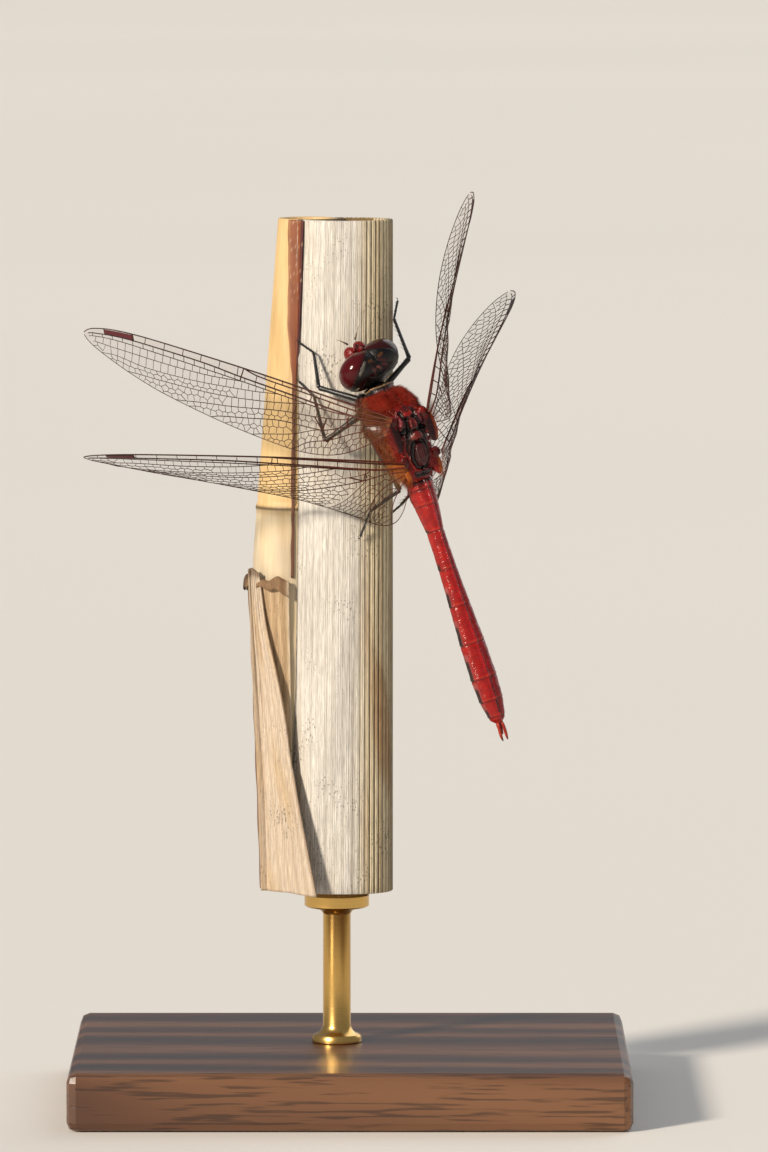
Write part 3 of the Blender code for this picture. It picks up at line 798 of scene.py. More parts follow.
# (line of spots, reach, edge, height, colour, strength, mirrored too)
HEAD_FEATURES = (
    # the dark vertex, and the grooves of the face
    ([(1.3, 0, 1.2), (1.75, 0, 1.0)], 0.3, 0.6, 0.0, "#2a0807", 0.85, False),
    ([(1.3, 0.75, 0.75), (1.7, 0, 0.85)], 0.16, 0.6, -0.03, "#3a0a08", 0.85, True),
    ([(2.6, 0, 0.6), (2.65, 0, -0.3)], 0.2, 0.9, -0.14, "#3c0806", 0.8, False),
    ([(2.4, -0.85, -0.34), (2.6, 0, -0.32), (2.4, 0.85, -0.34)], 0.12, 0.9, -0.07,
     "#3a0805", 0.8, False),
    ([(2.15, -0.85, -0.8), (2.35, 0, -0.8), (2.15, 0.85, -0.8)], 0.12, 0.9, -0.08,
     "#3a0805", 0.8, False),
    ([(1.8, -0.95, -1.3), (2.15, 0, -1.28), (1.8, 0.95, -1.3)], 0.12, 0.9, -0.09,
     "#1a0806", 0.9, False),
    ([(1.2, 0, -2.05), (1.85, 0, -1.6)], 0.12, 0.9, -0.05, "#120807", 0.9, False),
    # the back of the head: grey plate, sunk black hollows, a painted sheen on the left, warm spots
    ([(-1.4, 0.9, -0.2), (-1.45, 0.0, -0.3)], 0.8, 0.6, 0.05, "#2e2a28", 0.85, True),
    ([(-1.3, 0.9, -0.75), (-1.4, 0.0, -0.85)], 0.22, 0.7, 0.06, "#6b4a34", 0.7, True),
    ([(-1.05, 1.0, 0.75), (-1.3, 0.35, 0.45), (-1.3, 0.0, 0.5)], 0.2, 0.7, -0.14,
     "#050404", 0.95, True),
    ([(-0.7, 0.35, 1.5), (-0.95, 0.8, 1.25)], 0.26, 0.7, -0.1, "#070505", 0.95, True),
    # painted sheen: a grey band on the head's left only, the side the key light falls on
    ([(-0.3, 1.1, 1.82), (-0.6, 1.6, 1.5), (-0.75, 1.96, 1.2)], 0.17, 0.8, 0.05,
     "#6a6258", 0.75, False),
    ([(-1.05, 1.7, 0.6), (-1.1, 1.95, 0.1)], 0.2, 0.7, -0.06, "#1d1816", 0.8, True),
    ([(-1.04, 2.2, -0.1), (-0.95, 2.35, -0.4)], 0.14, 0.8, 0.04, "#c9c0a4", 0.7, True),
    ([(-0.42, 0.75, 1.76), (-0.45, 0.4, 1.72)], 0.18, 0.8, 0.03, "#643814", 0.75, True),
    ([(-0.6, 0.15, 1.6), (-0.62, 0.5, 1.6)], 0.14, 0.7, 0.02, "#3a1a10", 0.8, True),
    ([(-1.06, 0.48, 1.12), (-1.1, 0.62, 0.98)], 0.22, 0.6, 0.1, "#54221e", 0.85, True),
    ([(-1.04, 0.12, 1.16), (-1.08, -0.05, 1.02)], 0.2, 0.6, 0.1, "#7c3e38", 0.85, False),
)


def make_head_skin(settings):
    """The head capsule, face and mouth in one skin, black behind the eyes and red in front."""
    bm = bmesh.new()
    for side in (1, -1):
        eye_cup(bm, side)
    shells = (
        ((-0.5, 0, -0.15), (0.92, 2.2, 1.6)),           # capsule
        ((1.3, 0, 1.0), (0.42, 0.22, 0.42)),            # seam where the eyes part
        ((1.72, 0, 0.72), (0.36, 0.4, 0.38)),           # vertex, with the simple eyes
        ((1.82, 0.5, 0.1), (0.76, 0.58, 0.74)),         # brow, left and right
        ((1.82, -0.5, 0.1), (0.76, 0.58, 0.74)),
        ((1.8, 0, -0.55), (0.72, 0.92, 0.36)),          # clypeus
        ((1.6, 0, -1.0), (0.68, 0.98, 0.42)),           # upper lip
        ((1.1, 0, -1.5), (0.8, 1.05, 0.52)),            # lower lip
        ((0.85, 1.05, -1.2), (0.85, 0.5, 0.72)),        # jaw bases
        ((0.85, -1.05, -1.2), (0.85, 0.5, 0.72)),
        ((0.7, 0, -0.6), (1.3, 1.3, 1.1)),              # behind the face
    )
    for centre, radii in shells:
        ball(bm, centre, radii, around=28, rings=18)
    for spot, radius in (
        ((1.98, 0, 1.06), 0.1), ((1.72, 0.3, 0.98), 0.09), ((1.72, -0.3, 0.98), 0.09),
    ):
        ball(bm, spot, (radius,) * 3, around=12, rings=8)
    skin = fused(bm, HEAD_CELL, 2)
    points = points_of(skin)
    front = soft_step((points[:, 0] - 0.95) / 0.3)
    low = soft_step((-1.15 - points[:, 2]) / 0.3)
    face = overlaid(settings.face_colour, [(low, "#6b3a1c")])
    base = overlaid(linear("#0b0909"), [(front, face)])
    paint(skin, work_relief(skin, base, HEAD_FEATURES))
    finish = cuticle("head_cuticle", 0.35, 0.4, 0.1, 0.05, Roughness=0.24, IOR=1.42)
    place_piece("head_skin", skin, HEAD, finish, ["head", "face"])


def make_feelers():
    """Two short bristle feelers, each with two stout joints at its root."""
    finish = cuticle("feeler_cuticle", 0.2, 0.4, 0.05, 0.01, Roughness=0.4)
    for name, side in (("L", 1), ("R", -1)):
        route = [sided(spot, side) for spot in ANTENNA]
        radii = (0.09, 0.075, 0.035, 0.014)
        mesh = tubes([list(zip(route, radii))], sides=2)
        pale = soft_step((points_of(mesh)[:, 2] - 0.9) / 0.4)
        paint(mesh, overlaid(linear("#1c100c"), [(pale, "#9a8468")]))
        place_piece(f"feeler_{name}", mesh, HEAD, finish, [f"antenna_{name}"])


# ==== thorax and abdomen ====


BLACK, PINK = "#080606", "#8c343c"

# (line of spots, reach, edge, height, colour, strength, mirrored too)
THORAX_FEATURES = (
    # red shoulders on either side of the dark keel, which narrows towards the wings
    ([(3.62, 0.85, -1.6), (3.0, 0.95, -1.0)], 0.85, 0.8, 0.1, "#a0140c", 0.9, True),
    ([(2.6, 1.25, -0.9), (3.0, 1.45, -1.7)], 0.5, 0.9, 0.0, "#641410", 0.6, True),
    ([(4.2, 0, -2.4), (3.85, 0, -1.6), (3.2, 0, -0.9)], 0.26, 0.7, -0.08, "#1c0c09", 0.95, False),
    ([(3.2, 0, -0.9), (2.7, 0, -0.5), (2.25, 0, -0.2)], 0.17, 0.7, -0.06, "#2a0f0c", 0.9, False),
    ([(3.9, 0, -1.7), (3.1, 0, -0.85), (2.3, 0, -0.25)], 0.06, 0.9, 0.09, "#43211a", 0.7, False),
    # black and brown seams of the flank
    ([(3.95, 1.5, -3.3), (3.55, 1.81, -2.95), (2.63, 1.75, -1.48), (1.75, 1.4, -0.5)], 0.13, 0.8,
     -0.07, "#1a0d0a", 0.9, True),
    ([(1.9, 2.2, -4.4), (1.5, 2.24, -3.0), (0.78, 2.18, -2.3), (0.2, 1.95, -1.4)], 0.14, 0.8, -0.06,
     "#150b0a", 0.9, True),
    ([(-0.2, 2.1, -4.0), (-0.9, 2.05, -2.9), (-1.6, 1.85, -1.7)], 0.14, 0.8, -0.06,
     "#150b0a", 0.9, True),
    ([(2.7, 1.95, -2.2), (2.23, 1.84, -1.49), (1.9, 1.8, -1.3)], 0.3, 0.7, 0.0,
     "#3d3430", 0.75, True),
    ([(1.2, 2.0, -1.7), (0.6, 2.02, -1.6)], 0.32, 0.8, 0.04, "#b04a16", 0.75, True),
    ([(1.15, 1.9, -1.2), (0.3, 1.95, -1.35)], 0.14, 0.8, 0.02, "#8a1c10", 0.8, True),
    # the pit between the wings: deep black seams round red plates
    ([(2.45, 0.25, -0.35), (2.1, 0.9, -0.3)], 0.36, 0.6, 0.0, "#3a0c09", 0.75, True),
    ([(2.3, 0.75, -0.3), (1.75, 0.62, 0.0), (1.65, 0.2, 0.05)], 0.24, 0.6, -0.2, BLACK, 0.98, True),
    ([(1.68, 0.42, 0.05), (1.1, 0.5, 0.1), (0.61, 0.58, 0.07), (0.1, 0.85, -0.05)], 0.2, 0.55,
     -0.26, BLACK, 0.98, True),
    ([(0.5, 1.1, -0.23), (0.62, 0.8, -0.05)], 0.26, 0.5, -0.3, BLACK, 0.98, True),
    ([(0.4, 0.0, 0.2), (0.38, 0.7, 0.0)], 0.13, 0.7, -0.12, BLACK, 0.95, True),
    ([(-0.55, 0.0, 0.15), (-0.72, 0.55, 0.05), (-1.38, 0.85, -0.19), (-2.1, 0.9, -0.35),
      (-2.75, 0.6, -0.45), (-2.95, 0.0, -0.4)], 0.24, 0.5, -0.26, BLACK, 0.98, True),
    ([(-0.25, 0.95, -0.1), (-0.9, 1.15, -0.35), (-1.6, 1.1, -0.45)], 0.13, 0.7, -0.14,
     "#120808", 0.95, True),
    ([(1.3, 0.0, 0.12), (0.85, 0.0, 0.16)], 0.4, 0.5, 0.12, "#5a1412", 0.9, False),
    ([(1.2, 0.22, 0.12), (0.8, 0.28, 0.15)], 0.12, 0.7, 0.09, "#8a3a34", 0.6, True),
    ([(0.05, 0.0, 0.17), (-0.3, 0.0, 0.17)], 0.4, 0.5, 0.2, "#6e1c12", 0.9, False),
    ([(0.0, 0.42, 0.1), (-0.2, 0.5, 0.1)], 0.16, 0.6, 0.1, "#a04a3a", 0.7, True),
    ([(-1.1, 0.0, 0.05), (-2.2, 0.0, -0.05)], 0.56, 0.4, 0.1, "#451214", 0.9, False),
    ([(-1.2, 0.1, 0.05), (-2.1, 0.1, -0.02)], 0.07, 0.9, 0.05, "#6b3a34", 0.5, True),
    ([(-1.1, 0.42, 0.0), (-2.1, 0.42, -0.1)], 0.1, 0.8, 0.06, "#59403c", 0.6, True),
    ([(-3.36, 0.7, -0.8), (-3.4, 0.0, -0.62)], 0.42, 0.6, -0.1, "#0e0908", 0.98, True),
    ([(-3.2, 0.8, -0.75), (-3.25, 0.0, -0.52)], 0.09, 0.8, 0.1, "#6a4048", 0.7, True),
    ([(-3.6, 0.7, -1.0), (-3.62, 0.0, -0.85)], 0.08, 0.8, 0.08, "#57474c", 0.6, True),
    # wing hinges, dark on top, and the tissue behind them, amber at the rear and on the right
    ([(1.95, 1.45, -0.3), (1.3, 1.5, -0.4)], 0.42, 0.6, 0.0, "#6a120c", 0.6, True),
    ([(-1.7, 1.6, -0.5), (-2.2, 1.6, -0.6)], 0.42, 0.6, 0.0, "#54120c", 0.75, True),
    ([(1.1, 2.2, -0.4), (-0.6, 2.15, -0.4)], 0.42, 0.7, 0.0, "#7c1a10", 0.85, True),
    ([(1.2, -2.2, -0.4), (-0.8, -2.15, -0.4)], 0.36, 0.7, 0.0, "#a04a10", 0.85, False),
    ([(-2.3, 1.85, -0.75), (-3.5, 1.6, -0.75)], 0.38, 0.6, 0.0, "#a8560f", 0.9, True),
    # glossy pink and red plates under the wing hinges
    ([(0.75, 1.5, -0.68), (0.45, 1.6, -0.8)], 0.27, 0.6, 0.1, "#a3120f", 0.9, True),
    ([(1.45, 0.98, -0.15), (1.15, 1.05, -0.2)], 0.22, 0.5, 0.14, PINK, 0.85, True),
    ([(1.75, 0.98, -0.2)], 0.16, 0.5, 0.1, "#7c3238", 0.8, True),
    ([(-0.62, 1.55, -0.86)], 0.26, 0.5, 0.18, "#84343a", 0.9, True),
    ([(-1.15, 1.45, -0.75)], 0.2, 0.5, 0.12, "#7c2228", 0.85, True),
    ([(-1.68, 1.36, -0.72)], 0.24, 0.5, 0.18, "#8a3640", 0.9, True),
    ([(-1.4, 1.6, -1.05), (-2.0, 1.55, -1.1)], 0.16, 0.6, 0.1, "#a0202a", 0.85, True),
    ([(0.0, 1.3, -0.4)], 0.2, 0.6, 0.08, "#702420", 0.8, True),
    ([(-2.45, 1.5, -1.3), (-2.7, 1.4, -1.3)], 0.36, 0.5, 0.08, "#a8180e", 0.9, True),
    ([(-1.95, 1.85, -2.2), (-2.3, 1.75, -1.9)], 0.4, 0.7, 0.03, "#b06414", 0.85, True),
    # collar: cream front rim, dark band; and the leg sockets
    ([(4.5, 1.32, -3.95), (4.75, 1.0, -3.1), (4.85, 0.5, -2.72), (4.88, 0, -2.62)], 0.085, 0.8, 0.1,
     "#a5835c", 0.9, True),
    ([(4.45, 0.35, -2.6), (4.45, 0.95, -3.0)], 0.16, 0.7, 0.05, "#4a4142", 0.8, True),
    ([(3.97, 1.45, -4.2), (3.7, 1.6, -3.6)], 0.38, 0.7, 0.03, "#8a5230", 0.85, True),
)


def thorax_shells():
    """The closed shells that the thorax skin is drawn over."""
    bm = bmesh.new()
    for stations, inset, sides in (
        (THORAX_STATIONS, SKIN_INSET, 48), (PROTHORAX_STATIONS, 0.05, 36),
    ):
        loft(bm, [upright_ring(f, 0, u, w - inset, h - inset) for f, u, w, h in stations], sides)
    shells = [
        ((5.6, 0, -3.85), (0.75, 0.36, 0.36)),          # neck
        ((4.1, 0.9, -5.6), (0.55, 0.45, 0.75)),         # leg sockets, front to rear
        ((2.9, 1.05, -5.75), (0.6, 0.55, 0.8)),
        ((1.5, 1.05, -5.6), (0.65, 0.6, 0.85)),
        ((3.95, 1.15, -4.1), (0.45, 0.42, 0.45)),       # swelling over the front leg
        ((1.7, 1.5, -0.4), (0.5, 0.42, 0.24)),          # wing hinges
        ((1.0, 1.6, -0.55), (0.5, 0.34, 0.24)),
        ((-1.9, 1.6, -0.6), (0.46, 0.42, 0.24)),
        ((-2.5, 1.5, -0.9), (0.5, 0.36, 0.3)),
        ((-2.95, 1.1, -1.15), (0.46, 0.36, 0.45)),
        ((0.35, 1.8, -0.38), (1.45, 0.58, 0.15)),       # soft tissue behind each wing's root
        ((-2.9, 1.4, -0.75), (0.95, 0.5, 0.17)),
    ]
    for centre, radii in shells:
        for side in ((1, -1) if centre[1] else (1,)):
            ball(bm, sided(centre, side), radii, around=20, rings=14)
    return bm


def make_thorax_skin(settings):
    """One skin for the collar, the winged thorax, its leg sockets and wing hinges."""
    skin = fused(thorax_shells(), THORAX_CELL, 3)
    points = points_of(skin)
    forward, centre, _, half_height = np.array(THORAX_STATIONS).T
    depth = np.interp(points[:, 0], forward, centre + half_height) - points[:, 2]
    rear = soft_step((0.9 - points[:, 0]) / 1.6)
    flank = overlaid(linear("#6e3418"), [(rear, "#8a4a1a")])
    pit = soft_step((points[:, 2] + 0.75) / 0.5) * soft_step((1.9 - points[:, 0]) / 0.4)
    base = overlaid(settings.thorax_colour, (
        (soft_step((depth - 1.35) / 1.1), flank),
        (pit, "#2a0a09"),
        (soft_step((-4.6 - points[:, 2]) / 0.8), "#3f2416"),        # underside
        (soft_step((points[:, 0] - 4.22) / 0.1), "#151011"),        # collar
    ))
    paint(skin, work_relief(skin, base, THORAX_FEATURES))
    finish = cuticle("thorax_cuticle", 0.4, 0.5, 0.16, 0.08, Roughness=0.22, IOR=1.42)
    place_piece("thorax_skin", skin, BODY, finish, ["thorax", "prothorax"])


def abdomen_tables():
    """Half widths and heights along the abdomen, and where its rings join, from its front."""
    forward, _, half_width, half_height = ABDOMEN_START
    joints, widths, heights = [forward], [half_width], [half_height]
    for length, next_width, next_height in SEGMENTS:
        forward -= length
        joints.append(forward)
        widths.append(next_width)
        heights.append(next_height)
    return np.array(joints), np.array(widths), np.array(heights)


def ring_spots(forward, joints):
    """How far each point is behind the joint ahead of it and before the next, and its ring."""
    ring = np.clip(np.searchsorted(-joints, -forward, side="right") - 1, 0, len(joints) - 2)
    return joints[ring] - forward, forward - joints[ring + 1], ring


def abdomen_half_sizes(forward, tables):
    """Half width and half height of the abdomen, rounded off at both ends."""
    joints, widths, heights = tables
    nose = np.sqrt(np.clip((joints[0] + 0.35 - forward) / 0.3, 0, 1))
    tail = np.sqrt(np.clip((forward - joints[-1]) / 0.45, 0, 1))
    width = np.interp(-forward, -joints, widths) - 0.03
    height = np.interp(-forward, -joints, heights) - 0.03
    return width * nose * tail, height * nose * tail


def abdomen_place(turn, share, tables):
    """The face of the abdomen: ten rings with raised rear lips, a keel and two side ridges."""
    joints = tables[0]
    first = joints[0] + 0.35
    forward = first + (joints[-1] - first) * share
    width, height = abdomen_half_sizes(forward, tables)
    after, before, ring = ring_spots(forward, joints)
    groove = 0.4 * hill(after / 0.09) + hill(before / 0.06)
    lip = hill((before - 0.15) / 0.1)
    waist = hill(((before + after) / 2 - after) / 1.1)
    swell = 1 - 0.05 * groove + 0.022 * lip - 0.015 * waist * (ring > 2)
    side, up = np.cos(turn), np.sin(turn)
    dent = 0.012 * np.sin(forward * 5.3 + 3 * side) * np.sin(forward * 2.1 - 5 * side + ring)
    keel = 0.11 * hill(np.arctan2(side, up) / 0.1) * (up > 0)
    edge = 0.06 * hill(np.arctan2(up + 0.42, np.abs(side)) / 0.08)
    belly = np.where(up < 0, 1 - 0.18 * up**2, 1.0)
    rib = 1 + (keel + edge + dent) * np.clip(width * 4, 0, 1)
    bulge = 0.3 * hill((forward + 5.3) / 0.55) * (up < -0.5)
    return np.stack((
        forward, side * width * swell * rib,
        ABDOMEN_START[1] + up * height * swell * rib * belly - bulge,
    ), axis=1)


def abdomen_marks_and_painted_light(points, tables):
    """(amount at each point, colour) of each mark and painted light on the abdomen, in order."""
    forward, side, up = points[:, 0], points[:, 1], points[:, 2] - ABDOMEN_START[1]
    after, before, ring = ring_spots(forward, tables[0])
    width, height = abdomen_half_sizes(forward, tables)
    across = np.abs(side) / np.maximum(width, 0.05)
    level = up / np.maximum(height, 0.05)
    cloud = np.sin(forward * 2.7 + side * 3.1) * np.sin(forward * 1.3 - side * 4.2 + ring)
    low = soft_step((0.42 - level) / 0.3)
    colour_layers = [
        # painted light: the left side, where the key light falls, warmed to orange-red
        (soft_step((side - 0.15 * width) / (0.5 * width + 0.01)) * 0.5, "#a81c0a"),
        (soft_step((cloud - 0.25) / 0.5) * 0.35 * (ring > 0), "#8c0f14"),
        (soft_step((-0.25 - level) / 0.5) * 0.75, "#5c1a10"),
        (hill(before / 0.07) * 0.75, "#3c0606"),
        (hill(after / 0.07) * 0.5, "#5a0a08"),
        (hill((before - 0.2) / 0.09) * 0.16 * (level > 0), "#cc5a3c"),
        (hill((before - 0.45) / 0.12) * soft_step((0.6 - across) / 0.4) * 0.35, "#701010"),
    ]
    for number, reach in enumerate((0.5, 0.8, 1.5, 1.9, 2.0, 1.5, 1.0), 2):
        here = (ring == number) * soft_step((reach - before) / 0.4) * low
        # pale is a painted highlight of the side ridge, a greyish rim by the black side marks
        pale = (ring == number) * soft_step((reach + 0.5 - before) / 0.3) * (number > 3)
        pale = pale * soft_step((0.5 - level) / 0.2) * soft_step((across - 0.72) / 0.12)
        colour_layers.append((pale * 0.4, "#8c6a68"))
        colour_layers.append((here * soft_step((across - 0.84) / 0.1) * 0.95, "#0f0707"))
    for number, half in ((7, 0.09), (8, 0.13)):
        here = (ring == number) * soft_step((half - np.abs(side)) / 0.08) * (up > 0)
        colour_layers.append((here * soft_step((before - 0.15) / 0.3) * 0.85, "#1a0606"))
    colour_layers.append((soft_step((forward + 4.25) / 0.3) * 0.95, "#160a0a"))
    colour_layers.append(((ring == 1) * hill(after / 0.15) * 0.5, "#2a0807"))
    return colour_layers


def make_abdomen_skin(settings):
    """Ten rings in one skin, keeled along the back, with raised rear edges and black marks."""
    tables = abdomen_tables()
    bm = tube_grid(*ABDOMEN_GRID, lambda turn, share: abdomen_place(turn, share, tables))
    mesh = mesh_from(bm, "abdomen")
    points = points_of(mesh)
    paint(mesh, overlaid(settings.abdomen_colour, abdomen_marks_and_painted_light(points, tables)))
    finish = cuticle("abdomen_cuticle", 0.35, 0.6, 0.5, 0.075, grain=0.22, Roughness=0.2, IOR=1.45)
    nodes = [f"abdomen_s{number:02d}" for number in range(1, 11)]
    place_piece("abdomen_skin", mesh, BODY, finish, nodes)
    make_claspers(tables[0][-1], ABDOMEN_START[1], finish)


def make_claspers(last, centre_height, finish):
    """The two upper claspers and the single lower one at the tail."""
    bm = bmesh.new()
    for side in (1, -1):
        spots = (
            (last + 0.25, 0.18, 0.12, 0.13), (last - 0.1, 0.22, 0.14, 0.15),
            (last - 0.55, 0.26, 0.1, 0.15), (last - 1.0, 0.27, 0.05, 0.14),
            (last - 1.35, 0.25, 0.06, 0.09), (last - 1.5, 0.23, 0.1, 0.03),
        )
        loft(bm, [upright_ring(f, l * side, centre_height + u, r, r) for f, l, u, r in spots], 14)
    lower = (
        (-0.25, 0.2, 0.3, 0.12), (0.3, 0.2, 0.27, 0.11), (0.75, 0.12, 0.17, 0.08),
        (0.95, 0.05, 0.07, 0.04),
    )
    rings = [upright_ring(last - at, 0, centre_height - drop, w, h) for at, drop, w, h in lower]
    loft(bm, rings, 16)
    smooth = ("SUBSURF", {"levels": 1, "render_levels": 1})
    mesh = evaluated_mesh(mesh_from(bm, "claspers"), (smooth,))
    tip = soft_step((last - 1.0 - points_of(mesh)[:, 0]) / 0.4)
    paint(mesh, overlaid(linear("#a82c14"), [(tip, "#521a0e")]))
    place_piece("claspers", mesh, BODY, finish, ["cercus_L", "cercus_R"])


# ==== coat ====


def hair_shape():
    """One bent hair along +X, a unit long, as points and triangles."""
    bm = bmesh.new()
    bmesh.ops.create_cone(
        bm, cap_ends=True, cap_tris=True, segments=3, radius1=1.0, radius2=0.0, depth=1.0,
        matrix=Matrix.Rotation(math.radians(90), 4, "Y"),
    )
    bmesh.ops.translate(bm, vec=(0.5, 0, 0), verts=bm.verts)
    bmesh.ops.bisect_plane(
        bm, geom=bm.verts[:] + bm.edges[:] + bm.faces[:], dist=1e-6, plane_co=(0.5, 0, 0),
        plane_no=(1, 0, 0),
    )
    bmesh.ops.triangulate(bm, faces=bm.faces)
    points = np.array([vert.co for vert in bm.verts])
    faces = np.array([[vert.index for vert in face.verts] for face in bm.faces])
    bm.free()
    return points, faces


def hair_corners(points, normals, roots, lie, sizes, shape, rng):
    """Where each hair's corners lie: it leaves the skin at its root and bends over along it."""
    per_tuft, length, radius, rise, scatter = sizes
    root = np.repeat(roots, per_tuft)
    count = len(root)
    normal = normals[root]
    along = lie[root] + rng.normal(0, scatter, (count, 3))
    along -= normal * (along * normal).sum(1, keepdims=True)
    along /= np.linalg.norm(along, axis=1, keepdims=True)
    lift = (rise * rng.uniform(0.6, 1.3, count))[:, None, None]
    reach = (length * rng.uniform(0.6, 1.2, count))[:, None, None]
    side = np.cross(normal, along)
    start = points[root] + side * rng.normal(0, 0.04, (count, 1))
    start += along * rng.normal(0, 0.04, (count, 1)) - normal * 0.02
    along, side, normal = along[:, None], side[:, None], normal[:, None]
    t, y, z = shape.T[..., None]
    path = along * (t - 0.15 * t**2) + normal * lift * (1.3 * t - 0.55 * t**2)
    spread = radius * (1 - 0.75 * t) * (side * y + normal * z)
    return start[:, None] + path * reach + spread


def grow_coat(skin, roots, lie, unwrap, sizes, seed):
    """Hairs in tufts, joined in one mesh that lies along the skin.

    skin holds its points, normals and colours, roots are indices of its points, lie is the way
    hair points there, and unwrap the skin's own flat layout, where each tuft's bake patch sits.
    """
    rng = np.random.default_rng(seed)
    shape, faces = hair_shape()
    points = hair_corners(*skin[:2], roots, lie, sizes, shape, rng)
    count, corners = points.shape[:2]
    mesh = bpy.data.meshes.new("coat")
    joined = faces[None] + np.arange(count)[:, None, None] * corners
    mesh.from_pydata(points.reshape(-1, 3), [], joined.reshape(-1, 3).tolist())
    mesh.shade_smooth()
    root = np.repeat(roots, sizes[0])
    tip = shape[:, :1] * 0.6 + 0.4 * rng.uniform(0, 1, count)[:, None, None]
    colour = skin[2][root][:, None] * (1 - 0.5 * tip) + np.array(linear("#c4522a")) * 0.5 * tip
    paint(mesh, colour.reshape(-1, 3))
    number = np.tile(np.arange(sizes[0]), len(roots))[:, None]
    across = np.broadcast_to(number * 0.0008 + shape[:, 1] * 0.0003, (count, corners))
    up = np.broadcast_to(shape[:, 0] * 0.0028, (count, corners))
    flat = unwrap[root][:, None] + np.stack((across, up), axis=2)
    ends = np.empty(len(mesh.loops), np.int32)
    mesh.loops.foreach_get("vertex_index", ends)
    patch = mesh.uv_layers.new(name="OFBake")
    patch.data.foreach_set("uv", flat.reshape(-1, 2)[ends].astype(np.float32).ravel())
    return mesh


def hair_finish():
    """Fine chitin bristles: translucent gold at the tips, they soften the outline with a glow."""
    finish, add, _ = new_finish("down_hair", Roughness=0.5, Specular_IOR_Level=0.35)
    tone = add("Attribute", attribute_name="tone")
    return complete(finish, tone.outputs["Color"])


def skin_in_body_axes(name):
    """Points, normals and colours of a finished skin, in the insect's axes."""
    mesh = bpy.data.objects[name].data
    back = np.array(BODY.inverted())
    points = points_of(mesh) @ back[:3, :3].T + back[:3, 3]
    normals = normals_of(mesh) @ back[:3, :3].T * MM
    tones = np.empty(len(points) * 4, np.float32)
    mesh.color_attributes["tone"].data.foreach_get("color", tones)
    return points, normals, tones.reshape(-1, 4)[:, :3].astype(float)


def make_coat(settings):
    """Down on the thorax, in tufts that lie back along the body and stand a little at its front."""
    skin = skin_in_body_axes("thorax_skin")
    points = skin[0]
    forward, side, up = points.T
    bare = soft_step((forward - 4.25) / 0.15)
    for line, reach, edge in (
        ([(1.9, 0, 0.1), (-3.2, 0, -0.4)], 1.7, 0.3),                       # between the wings
        ([(1.9, 1.7, 0), (-2.6, 1.7, -0.6)], 0.85, 0.4),                    # wing hinges
        ([(1.9, -1.7, 0), (-2.6, -1.7, -0.6)], 0.85, 0.4),
        ([(4.25, 0, -2.4), (3.2, 0, -0.95), (2.4, 0, -0.35)], 0.3, 0.6),    # keel
    ):
        bare = np.maximum(bare, nearness(points, line, reach, edge))
    fluff = 0.2 + 1.8 * nearness(points, [(3.4, 1.2, -1.7), (3.4, -1.2, -1.7)], 2.1)
    weights = np.clip(1 - bare, 0, 1) * fluff + 1e-9
    ones = np.ones(len(points))
    lie = np.stack((-ones, 0.25 * np.sign(side), -0.25 * ones), axis=1)
    unwrap = np.stack((
        0.02 + 0.95 * (np.arctan2(side, up + 2.9) / math.tau + 0.5),
        0.02 + 0.95 * (forward + 4.0) / 10.5,
    ), axis=1)
    rng = np.random.default_rng(11)
    roots = rng.choice(len(points), size=settings.tufts, replace=False, p=weights / weights.sum())
    sizes = (3, settings.hair_length, settings.hair_radius, settings.hair_rise, 0.35)
    mesh = grow_coat(skin, roots, lie, unwrap, sizes, 12)
    place_piece("thorax_down", mesh, BODY, hair_finish())


# ==== wings ====


